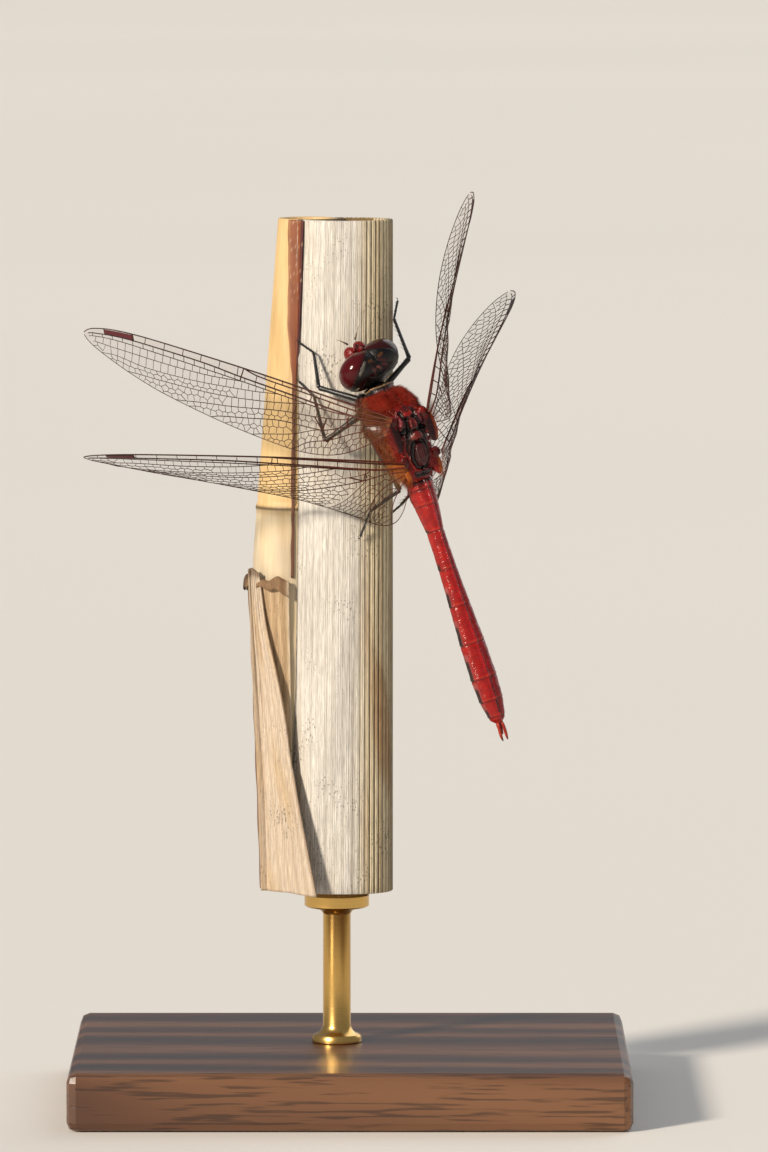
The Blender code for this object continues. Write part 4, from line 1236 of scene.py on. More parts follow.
class Blade:
    """One wing's surface and its veins.

    A point is (share of the length, distance behind the front).
    """

    def __init__(self, kind, name):
        self.kind = kind
        self.side = 1 if name.endswith("L") else -1
        self.pose = WING_POSE[name]
        self.length = kind["length"]

    def width(self, share):
        return eased(self.kind["front"], share) + eased(self.kind["back"], share)

    def borders(self, share):
        """Distances of every vein behind the front at each share, with both edges, in order."""
        width = self.width(share)
        rows = [np.zeros_like(share)]
        for _, table, _, _ in self.kind["veins"]:
            to_margin = table[-1][1] is MARGIN
            start, end = table[0][0], table[-1][0]
            last = self.width(np.array([end]))[0] if to_margin else table[-1][1]
            known = table[:-1] + ((end, last),)
            inside = eased(known, np.clip(share, start, end))
            if to_margin:
                beyond = width
            elif last == 0.0:
                beyond = np.zeros_like(share)
            else:
                beyond = last * width / self.width(np.array([end]))[0]
            row = np.where(share < start, rows[-1], np.where(share > end, beyond, inside))
            rows.append(np.minimum(np.maximum(row, rows[-1]), width))
        rows.append(width)
        return np.array(rows)

    def pleats(self, borders):
        """The height of the pleat along each border, which fades where two veins meet."""
        heights = [np.zeros(borders.shape[1])]
        for number, (_, _, _, height) in enumerate(self.kind["veins"], 1):
            apart = soft_step((borders[number] - borders[number - 1]) / 0.45)
            off_margin = soft_step((borders[-1] - borders[number]) / 0.6)
            heights.append((heights[-1] * (1 - apart) + height * apart) * off_margin)
        heights.append(np.zeros(borders.shape[1]))
        return np.array(heights)

    def spots(self, share, behind):
        """Points in the insect's axes at arrays of (share, distance behind the front edge)."""
        share, behind = np.asarray(share, float), np.asarray(behind, float)
        borders = self.borders(share)
        heights = self.pleats(borders)
        pleat = np.array([
            np.interp(at, borders[:, column] + np.arange(len(borders)) * 1e-9, heights[:, column])
            for column, at in enumerate(behind)
        ])
        front = eased(self.kind["front"], share)
        width = borders[-1]
        across = np.clip(behind / np.maximum(width, 1e-6), 0, 1)
        arch = 4 * across * (1 - across) * CAMBER * width + pleat
        reach = share - self.kind["lobe"] * across**3 * (1 - share) ** 7
        sweep, droop = (math.radians(angle) for angle in self.pose[:2])
        rise = np.radians(eased(tuple(zip(RISE_AT, self.pose[2])), np.clip(reach, 0, 1)))[:, None]
        along = np.array((math.sin(sweep) * math.cos(droop), math.cos(sweep) * math.cos(droop),
                          -math.sin(droop)))
        flat_lead = np.array((math.cos(sweep), -math.sin(sweep), 0.0))
        upper = np.cross(flat_lead, along)
        lead = flat_lead * np.cos(rise) + upper * np.sin(rise)
        top = upper * np.cos(rise) - flat_lead * np.sin(rise)
        hinge = np.array(self.kind["root"]) + (self.pose[3], 0, 0)
        found = (hinge + along * (self.length * reach)[:, None]
                 + lead * (front - behind)[:, None] + top * arch[:, None])
        return found * (1, self.side, 1)


def circle_centre(a, b, c):
    """The point equally far from three spots of the plane, or None if they stand in a line."""
    ab, ac = b - a, c - a
    twice = 2 * (ab.x * ac.y - ab.y * ac.x)
    if abs(twice) < 1e-9:
        return None
    return a + Vector((ac.y * ab.length_squared - ab.y * ac.length_squared,
                       ab.x * ac.length_squared - ac.x * ab.length_squared)) / twice


def cell_seeds(blade, number, size, single, rng):
    """Middles of the cells from border number to the next, as (along, behind, row, rows, gap)."""
    along = np.linspace(0.02, 0.992, 500)
    rows = blade.borders(along)
    gaps = rows[number + 1] - rows[number]
    seeds, x = [], 0.02 * blade.length + rng.random() * size
    while x < 0.99 * blade.length:
        gap = float(np.interp(x / blade.length, along, gaps))
        count = 1 if single else max(1, round(gap / size))
        loose = 0.24 * size if count > 1 else 0.06 * size
        for row in range(count if gap > 0.2 else 0):
            shift = 0.5 * size * (row % 2) if count > 1 else 0.0
            across = (row + 0.5) / count * gap + rng.uniform(-loose, loose) * (count > 1)
            seeds.append((x + shift + rng.uniform(-loose, loose), across, row, count, gap))
        x += size * (0.95 if count > 1 else 1.0)
    return seeds


def neighbour_walls(seeds, size):
    """Walls between neighbouring cells, each as its two ends (along, behind).

    A cell beside a vein is mirrored in it, so its wall against the mirror image is the vein.
    """
    spots, real = [], []
    for x, y, row, count, gap in seeds:
        mirrors = [-y] * (row <= 1) + [2 * gap - y] * (row >= count - 2)
        spots += [Vector((x, height)) for height in (y, *mirrors)]
        real += [True] + [False] * len(mirrors)
    verts, _, faces, origins, _, _ = delaunay_2d_cdt(spots, [], [], 0, 1e-7)
    sides = {}
    for face in faces:
        centre = circle_centre(*(verts[corner] for corner in face))
        if centre is None:
            continue
        for one, other in zip(face, (*face[1:], face[0])):
            sides.setdefault((min(one, other), max(one, other)), []).append(centre)
    return [
        centres for (one, other), centres in sides.items()
        if len(centres) == 2 and real[origins[one][0]] and real[origins[other][0]]
        and (verts[one] - verts[other]).length <= 2.2 * size
    ]


def cell_walls(blade, number, size, single, seed):
    """Cross walls of the cells between two neighbouring borders, each ((share, behind), twice)."""
    seeds = cell_seeds(blade, number, size, single, random.Random(seed))
    walls = neighbour_walls(seeds, size) if len(seeds) > 1 else []
    if not walls:
        return []
    ends = np.array([[tuple(a), tuple(b)] for a, b in walls])
    share = np.clip(ends[..., 0] / blade.length, 0.005, 0.995)
    flat = share.ravel()
    rows = blade.borders(flat)
    front, rear = rows[number].reshape(share.shape), rows[number + 1].reshape(share.shape)
    gap = rear - front
    y = ends[..., 1]
    y = np.where(y < 0.14 * size, 0, np.where(y > gap - 0.14 * size, gap, y))
    keep = (gap.min(1) > 0.1) & (np.hypot(*(ends[:, 0] - ends[:, 1]).T) < 2.5 * size)
    keep &= np.abs(y[:, 0] - y[:, 1]) + np.abs(ends[:, 0, 0] - ends[:, 1, 0]) > 0.05
    return [((s[0], f[0] + v[0]), (s[1], f[1] + v[1]))
            for s, f, v, good in zip(share, front, y, keep) if good]


def main_veins(blade):
    """The long veins, the two edges and the braces, as arrays of (share, behind, radius)."""
    routes = []
    shares = 0.5 - 0.5 * np.cos(np.linspace(0, math.pi, 90))
    width = blade.width(shares)
    routes.append((shares, np.zeros_like(shares), 0.085 - 0.035 * shares))
    routes.append((shares, width, 0.042 - 0.008 * shares))
    for number, (_, table, radius, _) in enumerate(blade.kind["veins"], 1):
        start, end = max(table[0][0], 0.0), table[-1][0]
        share = np.linspace(start, end, max(12, int(80 * (end - start))))
        behind = blade.borders(share)[number]
        routes.append((share, behind, 1.3 * radius * (1.1 - 0.5 * share)))
    for brace in blade.kind["braces"]:
        share, behind = np.array(brace).T
        routes.append((share, behind, np.full(len(share), 0.06)))
    return routes


def make_veins(name, blade, settings, finish):
    """All the veins of one wing as tubes that stand proud of both faces of the membrane."""
    routes = []
    for share, behind, radii in main_veins(blade):
        routes.append(list(zip(blade.spots(share, behind).tolist(), radii.tolist())))
    fine = settings.fine_vein / 2
    for number, size in enumerate(blade.kind["cells"]):
        single = number < 3
        walls = cell_walls(blade, number, size, single, 100 + number)
        if not walls:
            continue
        share = np.array([[end[0] for end in wall] for wall in walls])
        behind = np.array([[end[1] for end in wall] for wall in walls])
        spots = blade.spots(share.ravel(), behind.ravel()).reshape(-1, 2, 3)
        radius = fine * (1.4 if single else 1.0)
        for ends, at in zip(spots, share[:, 0]):
            thick = radius * (1.15 - 0.3 * at)
            routes.append([(ends[0].tolist(), thick), (ends[1].tolist(), thick)])
    mesh = tubes(routes)
    points = points_of(mesh)
    root = np.array(blade.kind["root"]) * (1, blade.side, 1)
    out = np.linalg.norm(points - root, axis=1) / blade.length
    paint(mesh, overlaid(settings.vein_colour, [(soft_step((0.4 - out) / 0.35), "#5a1c0a")]))
    mesh.shade_smooth()
    place_piece(f"{name}_veins", mesh, BODY, finish)


def membrane_stain(blade, share, behind):
    """The tint and the cover of the membrane: amber at the root, faint smoke elsewhere."""
    hind = blade.kind is HINDWING
    far_side = blade.side < 0
    reach = 0.062 if hind else 0.06 if far_side else 0.02
    depth = 2.7 if hind else 1.8 if far_side else 0.9
    patch = soft_step(1.3 - np.hypot(share / reach, behind / depth))
    core = soft_step(1.0 - np.hypot(share / (0.5 * reach), behind / (0.6 * depth)))
    front = hill((behind - 0.4) / 0.45) * 0.5
    colour_layers = ((np.maximum(patch, 0.3 * front), "#a8560c"), (0.6 * core, "#5c1c06"))
    cover = 0.055 + (0.5 if hind or far_side else 0.25) * patch + 0.2 * core + 0.05 * front
    return overlaid(linear("#7c6238"), colour_layers), np.clip(cover, 0, 1)


def membrane_net(blade, along, up):
    """(share, distance behind the front edge) of the membrane's corners, between its veins."""
    share = 0.5 - 0.5 * np.cos(along * math.pi)
    lines = blade.borders(share)
    row = up * (len(lines) - 1)
    low = np.clip(row.round(6).astype(int), 0, len(lines) - 2)
    part, column = row - low, np.arange(len(share))
    return share, lines[low, column] * (1 - part) + lines[low + 1, column] * part


def make_membrane(name, blade, settings, finish):
    """The clear sheet of one wing, pleated along its veins."""
    rows = ROWS_PER_PLEAT * (len(blade.kind["veins"]) + 1)
    mesh, along, up = bent_sheet((130, rows), lambda x, y: blade.spots(*membrane_net(blade, x, y)))
    tint, cover = membrane_stain(blade, *membrane_net(blade, along, up))
    paint(mesh, tint)
    store(mesh, cover, "cover")
    mesh = evaluated_mesh(mesh, (
        ("WELD", {"merge_threshold": 0.004}),
        ("SOLIDIFY", {"thickness": settings.membrane_thickness, "offset": 0.0}),
    ))
    bm = bmesh.new()
    bm.from_mesh(mesh)
    bmesh.ops.dissolve_degenerate(bm, dist=1e-4, edges=bm.edges)
    bmesh.ops.recalc_face_normals(bm, faces=bm.faces)
    bm.to_mesh(mesh)
    bm.free()
    mesh.shade_smooth()
    place_piece(f"{name}_membrane", mesh, BODY, finish, [name])


def make_stigma(name, blade, finish):
    """The thick coloured cell near the wing's tip."""
    first, last = blade.kind["stigma"]

    def place(along, across):
        share = first + (last - first) * along + (0.5 - across) * 0.006
        return blade.spots(share, 0.02 + (blade.borders(share)[2] - 0.04) * across)

    mesh, along, across = bent_sheet((24, 6), place)
    edge = np.maximum(np.abs(across - 0.5) * 2, (np.abs(along - 0.5) * 2 - 0.82) / 0.18)
    paint(mesh, overlaid(linear("#5a1219"), [(soft_step((edge - 0.5) / 0.4), "#1c0a09")]))
    place_piece(f"{name}_stigma", thickened(mesh, STIGMA_THICKNESS), BODY, finish)


def make_wing(name, settings, membrane, vein, stigma):
    blade = Blade(FOREWING if name.startswith("fore") else HINDWING, name)
    make_membrane(name, blade, settings, membrane)
    make_veins(name, blade, settings, vein)
    make_stigma(name, blade, stigma)


# ==== legs ====


def leg_rod(bm, start, end, thick, profile, sides=12):
    """A bone of the leg; profile is its radius, as shares of thick, at shares of its length."""
    along = (end - start).normalized()
    across = along.orthogonal().normalized()
    up = along.cross(across)
    frames = [
        ring_frame(start.lerp(end, share), across, up, thick * radius, thick * radius)
        for share, radius in profile
    ]
    loft(bm, frames, sides)


def spine(bm, root, tip, radius):
    way = tip - root
    place = Matrix.Translation((root + tip) / 2) @ way.to_track_quat("Z", "Y").to_matrix().to_4x4()
    bmesh.ops.create_cone(
        bm, cap_ends=True, segments=5, radius1=radius, radius2=radius * 0.15, depth=way.length,
        matrix=place,
    )


def spine_rows(bm, start, end, outward, count, length, radius, thick):
    """Two rows of bristles along a bone, which lean towards its far end."""
    along = (end - start).normalized()
    side = along.cross(outward).normalized()
    for number in range(count):
        root = start.lerp(end, 0.12 + 0.8 * (number + 0.5) / count)
        for hand in (1, -1):
            way = (outward * 0.75 + side * hand * 0.7).normalized()
            base = root + way * thick * 0.7
            reach = length * (0.8 + 0.25 * math.sin(number * 1.7 + hand))
            spine(bm, base, base + (way + along * 0.75).normalized() * reach, radius)


def claws(bm, toe, way, down):
    """A pair of hooked claws at the toe."""
    side = way.cross(down).normalized()
    for hand in (1, -1):
        root = toe - way * 0.05
        middle = root + (way * 0.75 + side * hand * 0.45 - down * 0.1) * 0.32
        tip = middle + (way * 0.35 + side * hand * 0.2 + down * 0.8) * 0.26
        spine(bm, root, middle, 0.055)
        spine(bm, middle - (tip - middle) * 0.12, tip, 0.042)


def make_leg(name, points, finish, settings):
    """One leg: thigh, shin and three-jointed foot, with bristles and claws."""
    pair, side = name.split("_")
    hip = sided(HIPS[pair], 1 if side == "L" else -1) + Vector((0, 0, HIP_SUNK))
    hip = BODY @ hip / MM
    knee, ankle, toe = (Vector(point) for point in points)
    thick = settings.leg_thickness / 2
    bm = bmesh.new()
    out = (knee - (hip + ankle) / 2).normalized()
    leg_rod(bm, hip, knee, thick, FEMUR)
    leg_rod(bm, knee, ankle, thick, TIBIA)
    foot = toe - ankle
    for start, end in ((0.0, 0.22), (0.23, 0.5), (0.51, 1.0)):
        leg_rod(bm, ankle + foot * start, ankle + foot * end, thick, FOOT_JOINT, 10)
    inward = -out
    spine_rows(bm, knee, ankle, inward, 7, 0.6, 0.03, thick * 0.6)
    spine_rows(bm, hip.lerp(knee, 0.25), knee, inward, 7, 0.34, 0.026, thick)
    spine_rows(bm, ankle, toe, inward, 5, 0.22, 0.022, thick * 0.4)
    claws(bm, toe, foot.normalized(), inward)
    mesh = mesh_from(bm, "leg")
    paint(mesh, np.tile(np.array(settings.leg_colour), (len(mesh.vertices), 1)))
    mesh.set_sharp_from_angle(angle=math.radians(60))
    nodes = [f"{bone}_{name}" for bone in ("femur", "tibia", "tarsus")]
    place_piece(f"leg_{name}", mesh, WORLD, finish, nodes)


# ==== reed ====


def between(ends, z):
    """A table of two ends, at heights z."""
    share = (np.asarray(z, float) - REED_BOTTOM) / (REED_TOP - REED_BOTTOM)
    return [low + (high - low) * share for low, high in zip(*ends)]


def culm_at(z):
    """The culm's x, y and radius at heights z."""
    heights, *columns = zip(*CULM_STATIONS)
    return [np.interp(z, heights, column) for column in columns]


def fluting(turn, z):
    """The sheath's ribs: their grooves, how bold they are there, and a number for each rib."""
    across = turn * RIBS + 0.55 * np.sin(turn * 5) + 0.3 * np.sin(z * 0.1 + turn * 3)
    number = np.round(across / math.tau)
    groove = soft_step((-np.cos(across) - 0.2) / 0.6)
    front = 0.12 + 0.88 * soft_step((np.cos(turn) - 0.16) / 0.5)
    bold = np.maximum(front, soft_step((np.sin(turn) - 0.1) / 0.6))
    strength = 0.75 + 0.25 * np.sin(number * 2.4 + 0.4) * np.cos(z * 0.06 + number)
    return groove * strength, bold, number


def cut_stem_rows(count, wall, depth):
    """Rows of a stem that is cut square and hollow on top: height, distance inside its face, and
    share of the way out from its middle."""
    rim = SAW_RIM
    heights = np.linspace(REED_BOTTOM + rim, REED_TOP - rim, count)
    near_node = NODE_HEIGHT + np.linspace(-0.9, 1.2, 22)
    face = [(z, 0.0, 1.0) for z in sorted([*heights, *near_node])]
    foot = [(REED_BOTTOM, 0.0, 0.0), (REED_BOTTOM, rim, 1.0)]
    hollow = [
        (REED_TOP, rim, 1.0), (REED_TOP, wall - rim, 1.0), (REED_TOP - rim, wall, 1.0),
        (REED_TOP - depth, wall, 1.0), (REED_TOP - depth, wall, 0.0),
    ]
    return np.array(foot + face + hollow)


def stem_grid(around, rows, place):
    """A closed tube with a ring of corners for each row of the stem."""
    last = len(rows) - 1

    def place_row(turn, share):
        return place(turn, rows[np.rint(share * last).astype(int)])

    return tube_grid(around, last, place_row)


def sheath_place(turn, row):
    """The face of the leaf sheath, hollowed where the culm lies against it."""
    z, inside, out = row.T
    x0, y0, half_width, half_depth = between(SHEATH_ENDS, z)
    groove, bold, _ = fluting(turn, z)
    fibre = 0.012 * np.cos(turn * 137 + 0.4 * np.sin(z * 0.3))
    relief = np.where(inside > 0, 0.0, fibre - 0.13 * bold * groove)
    x = x0 + (half_width - SHEATH_INSET + relief - inside) * out * np.cos(turn)
    y = y0 + (half_depth - SHEATH_INSET + relief - inside) * out * np.sin(turn)
    cx, cy, radius = culm_at(z)
    room = radius + 0.06 + inside
    far = np.hypot(x - cx, y - cy)
    push = np.where((far < room) & (out > 0), room / np.maximum(far, 1e-6), 1.0)
    return np.stack((cx + (x - cx) * push, cy + (y - cy) * push, z), axis=1)


def make_sheath(settings, finish):
    """The ribbed leaf sheath round the reed's right stem, cut square, with its hollow on top."""
    mesh = mesh_from(stem_grid(540, cut_stem_rows(52, 0.45, 1.2), sheath_place), "sheath")
    mesh.set_sharp_from_angle(angle=math.radians(60))
    x, y, z = points_of(mesh).T
    x0, y0, half_width, half_depth = between(SHEATH_ENDS, z)
    turn = np.arctan2((y - y0) / half_depth, (x - x0) / half_width)
    groove, bold, number = fluting(turn, z)
    cloud = np.sin(z * 0.21 + 2.2 * np.sin(turn * 2.1)) * np.sin(z * 0.077 - turn * 3.3)
    right = soft_step((np.cos(turn) - 0.3) / 0.3)
    damp = soft_step((52.0 - z) / 14.0) * soft_step((z - 16.0) / 8.0) * right
    line = np.sin(turn * 61 + 1.3 * np.sin(z * 0.11)) * np.sin(turn * 97 - 0.05 * z + 2)
    inner = np.hypot((x - x0) / half_width, (y - y0) / half_depth) < 0.86
    paint(mesh, overlaid(settings.sheath_colour, (
        (soft_step((np.cos(turn) - 0.1) / 0.5) * 0.9, "#eedcb4"),
        (soft_step((line - 0.25) / 0.4) * (1 - bold) * 0.35, "#9a9086"),
        (soft_step((-line - 0.4) / 0.3) * (1 - bold) * 0.5, "#f3f0ec"),
        (soft_step(cloud + 0.3 * line) * (1 - bold) * 0.35, "#aba39b"),
        (soft_step(-cloud - 0.1) * (1 - bold) * 0.2, "#dcc9a4"),
        (soft_step(np.sin(number * 1.9 + z * 0.02) - 0.1) * bold * 0.35, "#c09a62"),
        (damp * soft_step(np.sin(z * 0.33 + number * 0.6) * 0.6 + cloud) * 0.55, "#a56c28"),
        (groove * bold * 0.95, "#46301c"),
        (hill((turn + 1.38) / 0.022) * soft_step((40.0 - z) / 6.0) * 0.5, "#7a6448"),
        # painted shade: the far right edge, turned from the key light, darkened to brown
        (soft_step((np.cos(turn) - 0.9) / 0.08) * (np.sin(turn) < 0.3) * 0.5, "#57402a"),
        (inner & (z > REED_TOP - 1.3), "#8a7048"),      # the hollow at the top
    )))
    place_piece("reed_sheath", mesh, WORLD, finish, ["perch_sheath"])


def culm_place(turn, row):
    """The smooth culm, swollen a little at its node, with a hollow at the cut top."""
    z, inside, out = row.T
    x0, y0, radius = culm_at(z)
    near = z - NODE_HEIGHT
    bead = 0.1 * hill(near / 0.3) - 0.05 * hill((near - 0.6) / 0.25)
    fibre = 0.01 * np.cos(turn * 46) + 0.006 * np.cos(turn * 71 + 1)
    reach = (radius - CULM_INSET + np.where(inside > 0, 0.0, bead + fibre) - inside) * out
    return np.stack((x0 + reach * np.cos(turn), y0 + reach * np.sin(turn), z), axis=1)


def make_culm(settings, finish):
    """The straw-coloured stem, paler and greyer below its node."""
    mesh = mesh_from(stem_grid(150, cut_stem_rows(60, 0.5, 1.0), culm_place), "culm")
    mesh.set_sharp_from_angle(angle=math.radians(60))
    x, y, z = points_of(mesh).T
    near = z - NODE_HEIGHT
    cx, cy, _ = culm_at(z)
    turn = np.arctan2(y - cy, x - cx)
    cloud = np.sin(z * 0.19 + 2 * np.sin(turn * 3)) * np.sin(z * 0.43 + turn * 2)
    paint(mesh, overlaid(linear("#e0cdaa"), (
        (soft_step((near + 0.2) / 0.4), settings.culm_colour),
        (soft_step(cloud - 0.1) * 0.3, "#b98f4c"),
        (soft_step(np.sin(turn * 9 + 0.1 * z)) * 0.15, "#c49c58"),
        (hill(near / 0.17) * 0.95, "#2a1a0a"),
        (hill((near + 0.3) / 0.3) * 0.45, "#8a6a34"),
        (soft_step((NODE_HEIGHT - 1.0 - z) / 3.0) * soft_step(cloud + 0.3) * 0.45, "#b9b0a2"),
    )))
    place_piece("reed_culm", mesh, WORLD, finish, ["perch_culm"])


def reed_front(x, z, off):
    """How far forward the front of the reed lies at x and z, with a cover of thickness off."""
    cx, cy, radius = culm_at(z)
    culm_face = cy - np.sqrt(np.maximum((radius - 0.1 + off) ** 2 - (x - cx) ** 2, 0.04))
    x0, y0, half_width, half_depth = between(SHEATH_ENDS, z)
    share = np.clip((x - x0) / (half_width - SHEATH_INSET + off), -1, 1)
    sheath_face = y0 - (half_depth - SHEATH_INSET + off) * np.sqrt(1 - share**2)
    return np.minimum(culm_face, sheath_face)


def margin_place(across, up):
    """The brown edge of the sheath, which lies over its join with the culm."""
    low = MARGIN_LEFT[0][0]
    z = low + (REED_TOP - 0.04 - low) * up
    left, right = eased(MARGIN_LEFT, z), eased(MARGIN_RIGHT, z)
    waver = 0.035 * np.sin(z * 0.9) + 0.02 * np.sin(z * 2.3 + 1)
    x = left + (right - left) * across + waver * (1 - across)
    steps = (-0.16, -0.08, 0.0, 0.08, 0.16)
    face = np.min([reed_front(x + step, z, 0.06) for step in steps], axis=0)
    return np.stack((x, face - 0.06 * across * (1 - across), z), axis=1)


def make_margin(finish):
    """The thin red-brown edge of the sheath, which lies on the culm and narrows downwards."""
    mesh, across, _ = bent_sheet((12, 120), margin_place)
    z = points_of(mesh)[:, 2]
    wide = soft_step((z - 60.5) / 4.0)
    speck = np.sin(z * 5.1 + across * 9) * np.sin(z * 3.3 - across * 14)
    paint(mesh, overlaid(linear("#6a4230"), (
        (wide, "#8a4c28"),
        (wide * soft_step((0.22 - across) / 0.15) * 0.6, "#b98a62"),
        (wide * soft_step((across - 0.8) / 0.12) * 0.9, "#4a1420"),
        (wide * soft_step(np.sin(z * 1.7 + across * 4) - 0.2) * 0.35, "#6a351f"),
        (wide * soft_step((speck - 0.75) / 0.15) * soft_step((z - 68.0) / 3.0) * 0.5, "#d0b090"),
    )))
    place_piece("sheath_margin", thickened(mesh, MARGIN_THICKNESS), WORLD, finish)


def clasp_pleat(across, z):
    """The wave of the clasping leaf's veins, as an angle."""
    return across * 62 + 0.6 * np.sin(z * 0.3)


def clasp_place(across, up):
    """The dead leaf where it clasps the culm, its top folded outward."""
    rise, over = np.clip(up / FOLD_FROM, 0, 1), np.clip((up - FOLD_FROM) / (1 - FOLD_FROM), 0, 1)
    ragged = 0.3 * np.sin(across * 9.0) + 0.14 * np.sin(across * 31.0)
    z = REED_BOTTOM + (LEAF_TOP - 0.5 + ragged - REED_BOTTOM) * rise
    droop = (0.7 + 0.5 * np.sin(across * 7.0 + 1.0)) * over**1.6
    z = z + 0.22 * np.sin(over * math.pi) - droop
    cx, cy, radius = culm_at(z)
    turn = np.radians(158 + 110 * across)
    pleat = 0.04 * np.cos(clasp_pleat(across, z)) + 0.03 * np.sin(z * 1.3 + across * 9)
    reach = radius + 0.16 + pleat + 0.1 * rise**4 + 0.4 * np.sin(over * math.pi / 2)
    return np.stack((cx + reach * np.cos(turn), cy + reach * np.sin(turn), z), axis=1)


def make_leaf_clasp(finish):
    """The dead leaf's clasp round the culm: a dark fold on top, painted shade behind the blade."""
    mesh, across, up = bent_sheet((70, 120), clasp_place)
    rib = soft_step(0.5 + 0.5 * np.cos(clasp_pleat(across, points_of(mesh)[:, 2])))
    paint(mesh, overlaid(linear("#d2b590"), (
        (rib * 0.45, "#9a7850"),
        (soft_step((0.5 - across) / 0.3) * soft_step((0.75 - up) / 0.3) * 0.8, "#6b4a48"),
        (soft_step((up - FOLD_FROM + 0.03) / 0.04) * 0.75, "#7a5638"),
        (soft_step((across - 0.965) / 0.03) * 0.6, "#e8dcc4"),
        # painted shade: the clasp's upper left, in the gap behind the free blade
        (soft_step((0.42 - across) / 0.16) * soft_step((up - 0.7) / 0.2) * 0.7, "#3a2a1c"),
    )))
    clasp = thickened(mesh, LEAF_THICKNESS)
    place_piece("old_leaf_clasp", clasp, WORLD, finish, ["perch_leaf"])


def blade_crease(across, z):
    """The wave of the free blade's veins, as an angle."""
    return across * 38 + 0.4 * np.sin(z * 0.4)


def blade_place(across, up):
    """The dead leaf's free blade, which crosses the stem from its left side to the right."""
    curl = np.clip((up - 0.965) / 0.035, 0, 1)
    z = REED_BOTTOM + (BLADE_TOP - REED_BOTTOM) * up + 0.2 * np.sin(across * 5) * curl
    left, right = eased(BLADE_LEFT, z), eased(BLADE_RIGHT, z)
    x = left + (right - left) * across
    face = reed_front(x, z, 0.3)
    crease = 0.05 * np.cos(blade_crease(across, z)) + 0.05 * np.sin(z * 0.5 + across * 5)
    lift = 0.12 + 1.5 * across**1.5 * (1.25 - up) + 0.25 * hill(across / 0.12)
    return np.stack((x, face - lift + crease, z), axis=1)


def make_leaf_blade(finish):
    """The leaf's free part, which crosses in front of the stem, greyed and stained in clouds."""
    mesh, across, up = bent_sheet((48, 130), blade_place)
    z = points_of(mesh)[:, 2]
    cloud = np.sin(z * 0.37 + across * 6) * np.sin(z * 0.15 - across * 4)
    paint(mesh, overlaid(linear("#dccab4"), (
        (soft_step(np.sin(blade_crease(across, z)) - 0.1) * 0.3, "#b89a76"),
        (soft_step(cloud) * 0.45, "#cfae7e"),
        (soft_step((0.13 - across) / 0.1) * 0.4, "#a98a66"),
        (soft_step((across - 0.95) / 0.04) * 0.55, "#8a6c4c"),
        (soft_step((up - 0.97) / 0.02) * 0.7, "#6b4a30"),
    )))
    place_piece("old_leaf_blade", thickened(mesh, LEAF_THICKNESS), WORLD, finish)


# ==== stand ====


def spun(profile, steps):
    """A turned piece: the (radius, height) profile is spun round the rod's axis."""
    bm = bmesh.new()
    verts = [bm.verts.new((radius, 0, height)) for radius, height in profile]
    edges = [bm.edges.new(pair) for pair in zip(verts, verts[1:])]
    bmesh.ops.spin(
        bm, geom=verts + edges, cent=(0, 0, 0), axis=(0, 0, 1), angle=math.tau, steps=steps,
        use_merge=True,
    )
    bmesh.ops.remove_doubles(bm, verts=bm.verts, dist=1e-4)
    bmesh.ops.translate(bm, vec=(ROD_PLACE.x, ROD_PLACE.y, 0), verts=bm.verts)
    return bm


def make_stand():
    """A walnut block with a turned brass rod, foot collar and cap."""
    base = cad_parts["stand_base"]
    wood = walnut()
    for slot in base.material_slots:
        slot.material = wood
    profile = (
        (0.0, BASE_HEIGHT), (2.05, BASE_HEIGHT), (2.15, 5.1), (2.15, 5.45), (2.0, 5.7),
        (1.6, 5.85), (1.35, 6.1), (ROD_RADIUS, 6.5), (ROD_RADIUS, 16.2), (1.35, 16.45),
        (1.7, 16.7), (2.55, 16.8), (CAP_RADIUS, 16.95), (CAP_RADIUS, 17.85),
        (CAP_RADIUS - 0.15, 18.05), (2.4, CAP_TOP), (0.0, CAP_TOP),
    )
    mesh = mesh_from(spun(profile, 64), "rod")
    mesh.set_sharp_from_angle(angle=math.radians(35))
    nodes = ["stand_rod", "stand_cap"]
    place_piece("stand_rod_and_cap", mesh, WORLD, turned_brass(), nodes)


# ==== stage ====


CAMERA_PLACE = Vector((2.885, -807.45, 116.22))
CAMERA_TURN = (math.radians(85), 0, 0)
FLOOR_REACH = 8.0       # metres from the middle of the floor to its sides


def add_sun(name, towards, strength, spread, colour):
    """A broad sun: towards points at it, spread is how wide it looks, in degrees."""
    lamp = bpy.data.lights.new(name, "SUN")
    lamp.energy = strength
    lamp.angle = math.radians(spread)
    lamp.color = colour
    new_object(name, lamp).rotation_euler = (-Vector(towards)).to_track_quat("-Z", "Y").to_euler()


def make_stage(settings):
    """A pale floor, a broad soft sun from the upper left, and the camera."""
    bm = bmesh.new()
    bmesh.ops.create_grid(bm, x_segments=8, y_segments=8, size=FLOOR_REACH)
    mesh = bpy.data.meshes.new("studio_floor")
    bm.to_mesh(mesh)
    bm.free()
    mesh.materials.append(studio_floor(settings.floor_colour))
    new_object("studio_floor", mesh)
    add_sun("key", (-0.62, -0.67, 0.41), settings.key_strength, 8.0, linear("#fff2e0"))
    add_sun("back", (0.5, 0.7, 0.5), settings.key_strength * 0.2, 50.0, (1.0, 1.0, 1.0))
    world = bpy.data.worlds.new("studio")
    world.use_nodes = True
    sky = world.node_tree.nodes["Background"]
    sky.inputs["Color"].default_value = (0.92, 0.95, 1.0, 1)
    sky.inputs["Strength"].default_value = settings.sky_strength
    bpy.context.scene.world = world
    bpy.context.scene.view_settings.view_transform = "Standard"
    lens = bpy.data.cameras.new("camera")
    lens.sensor_fit = "VERTICAL"
    lens.sensor_height = 36.0
    lens.lens = settings.lens
    lens.clip_start = 0.01
    camera = new_object("camera", lens)
    camera.location = CAMERA_PLACE * MM
    camera.rotation_euler = CAMERA_TURN
    bpy.context.scene.camera = camera


# ==== the add-on ====


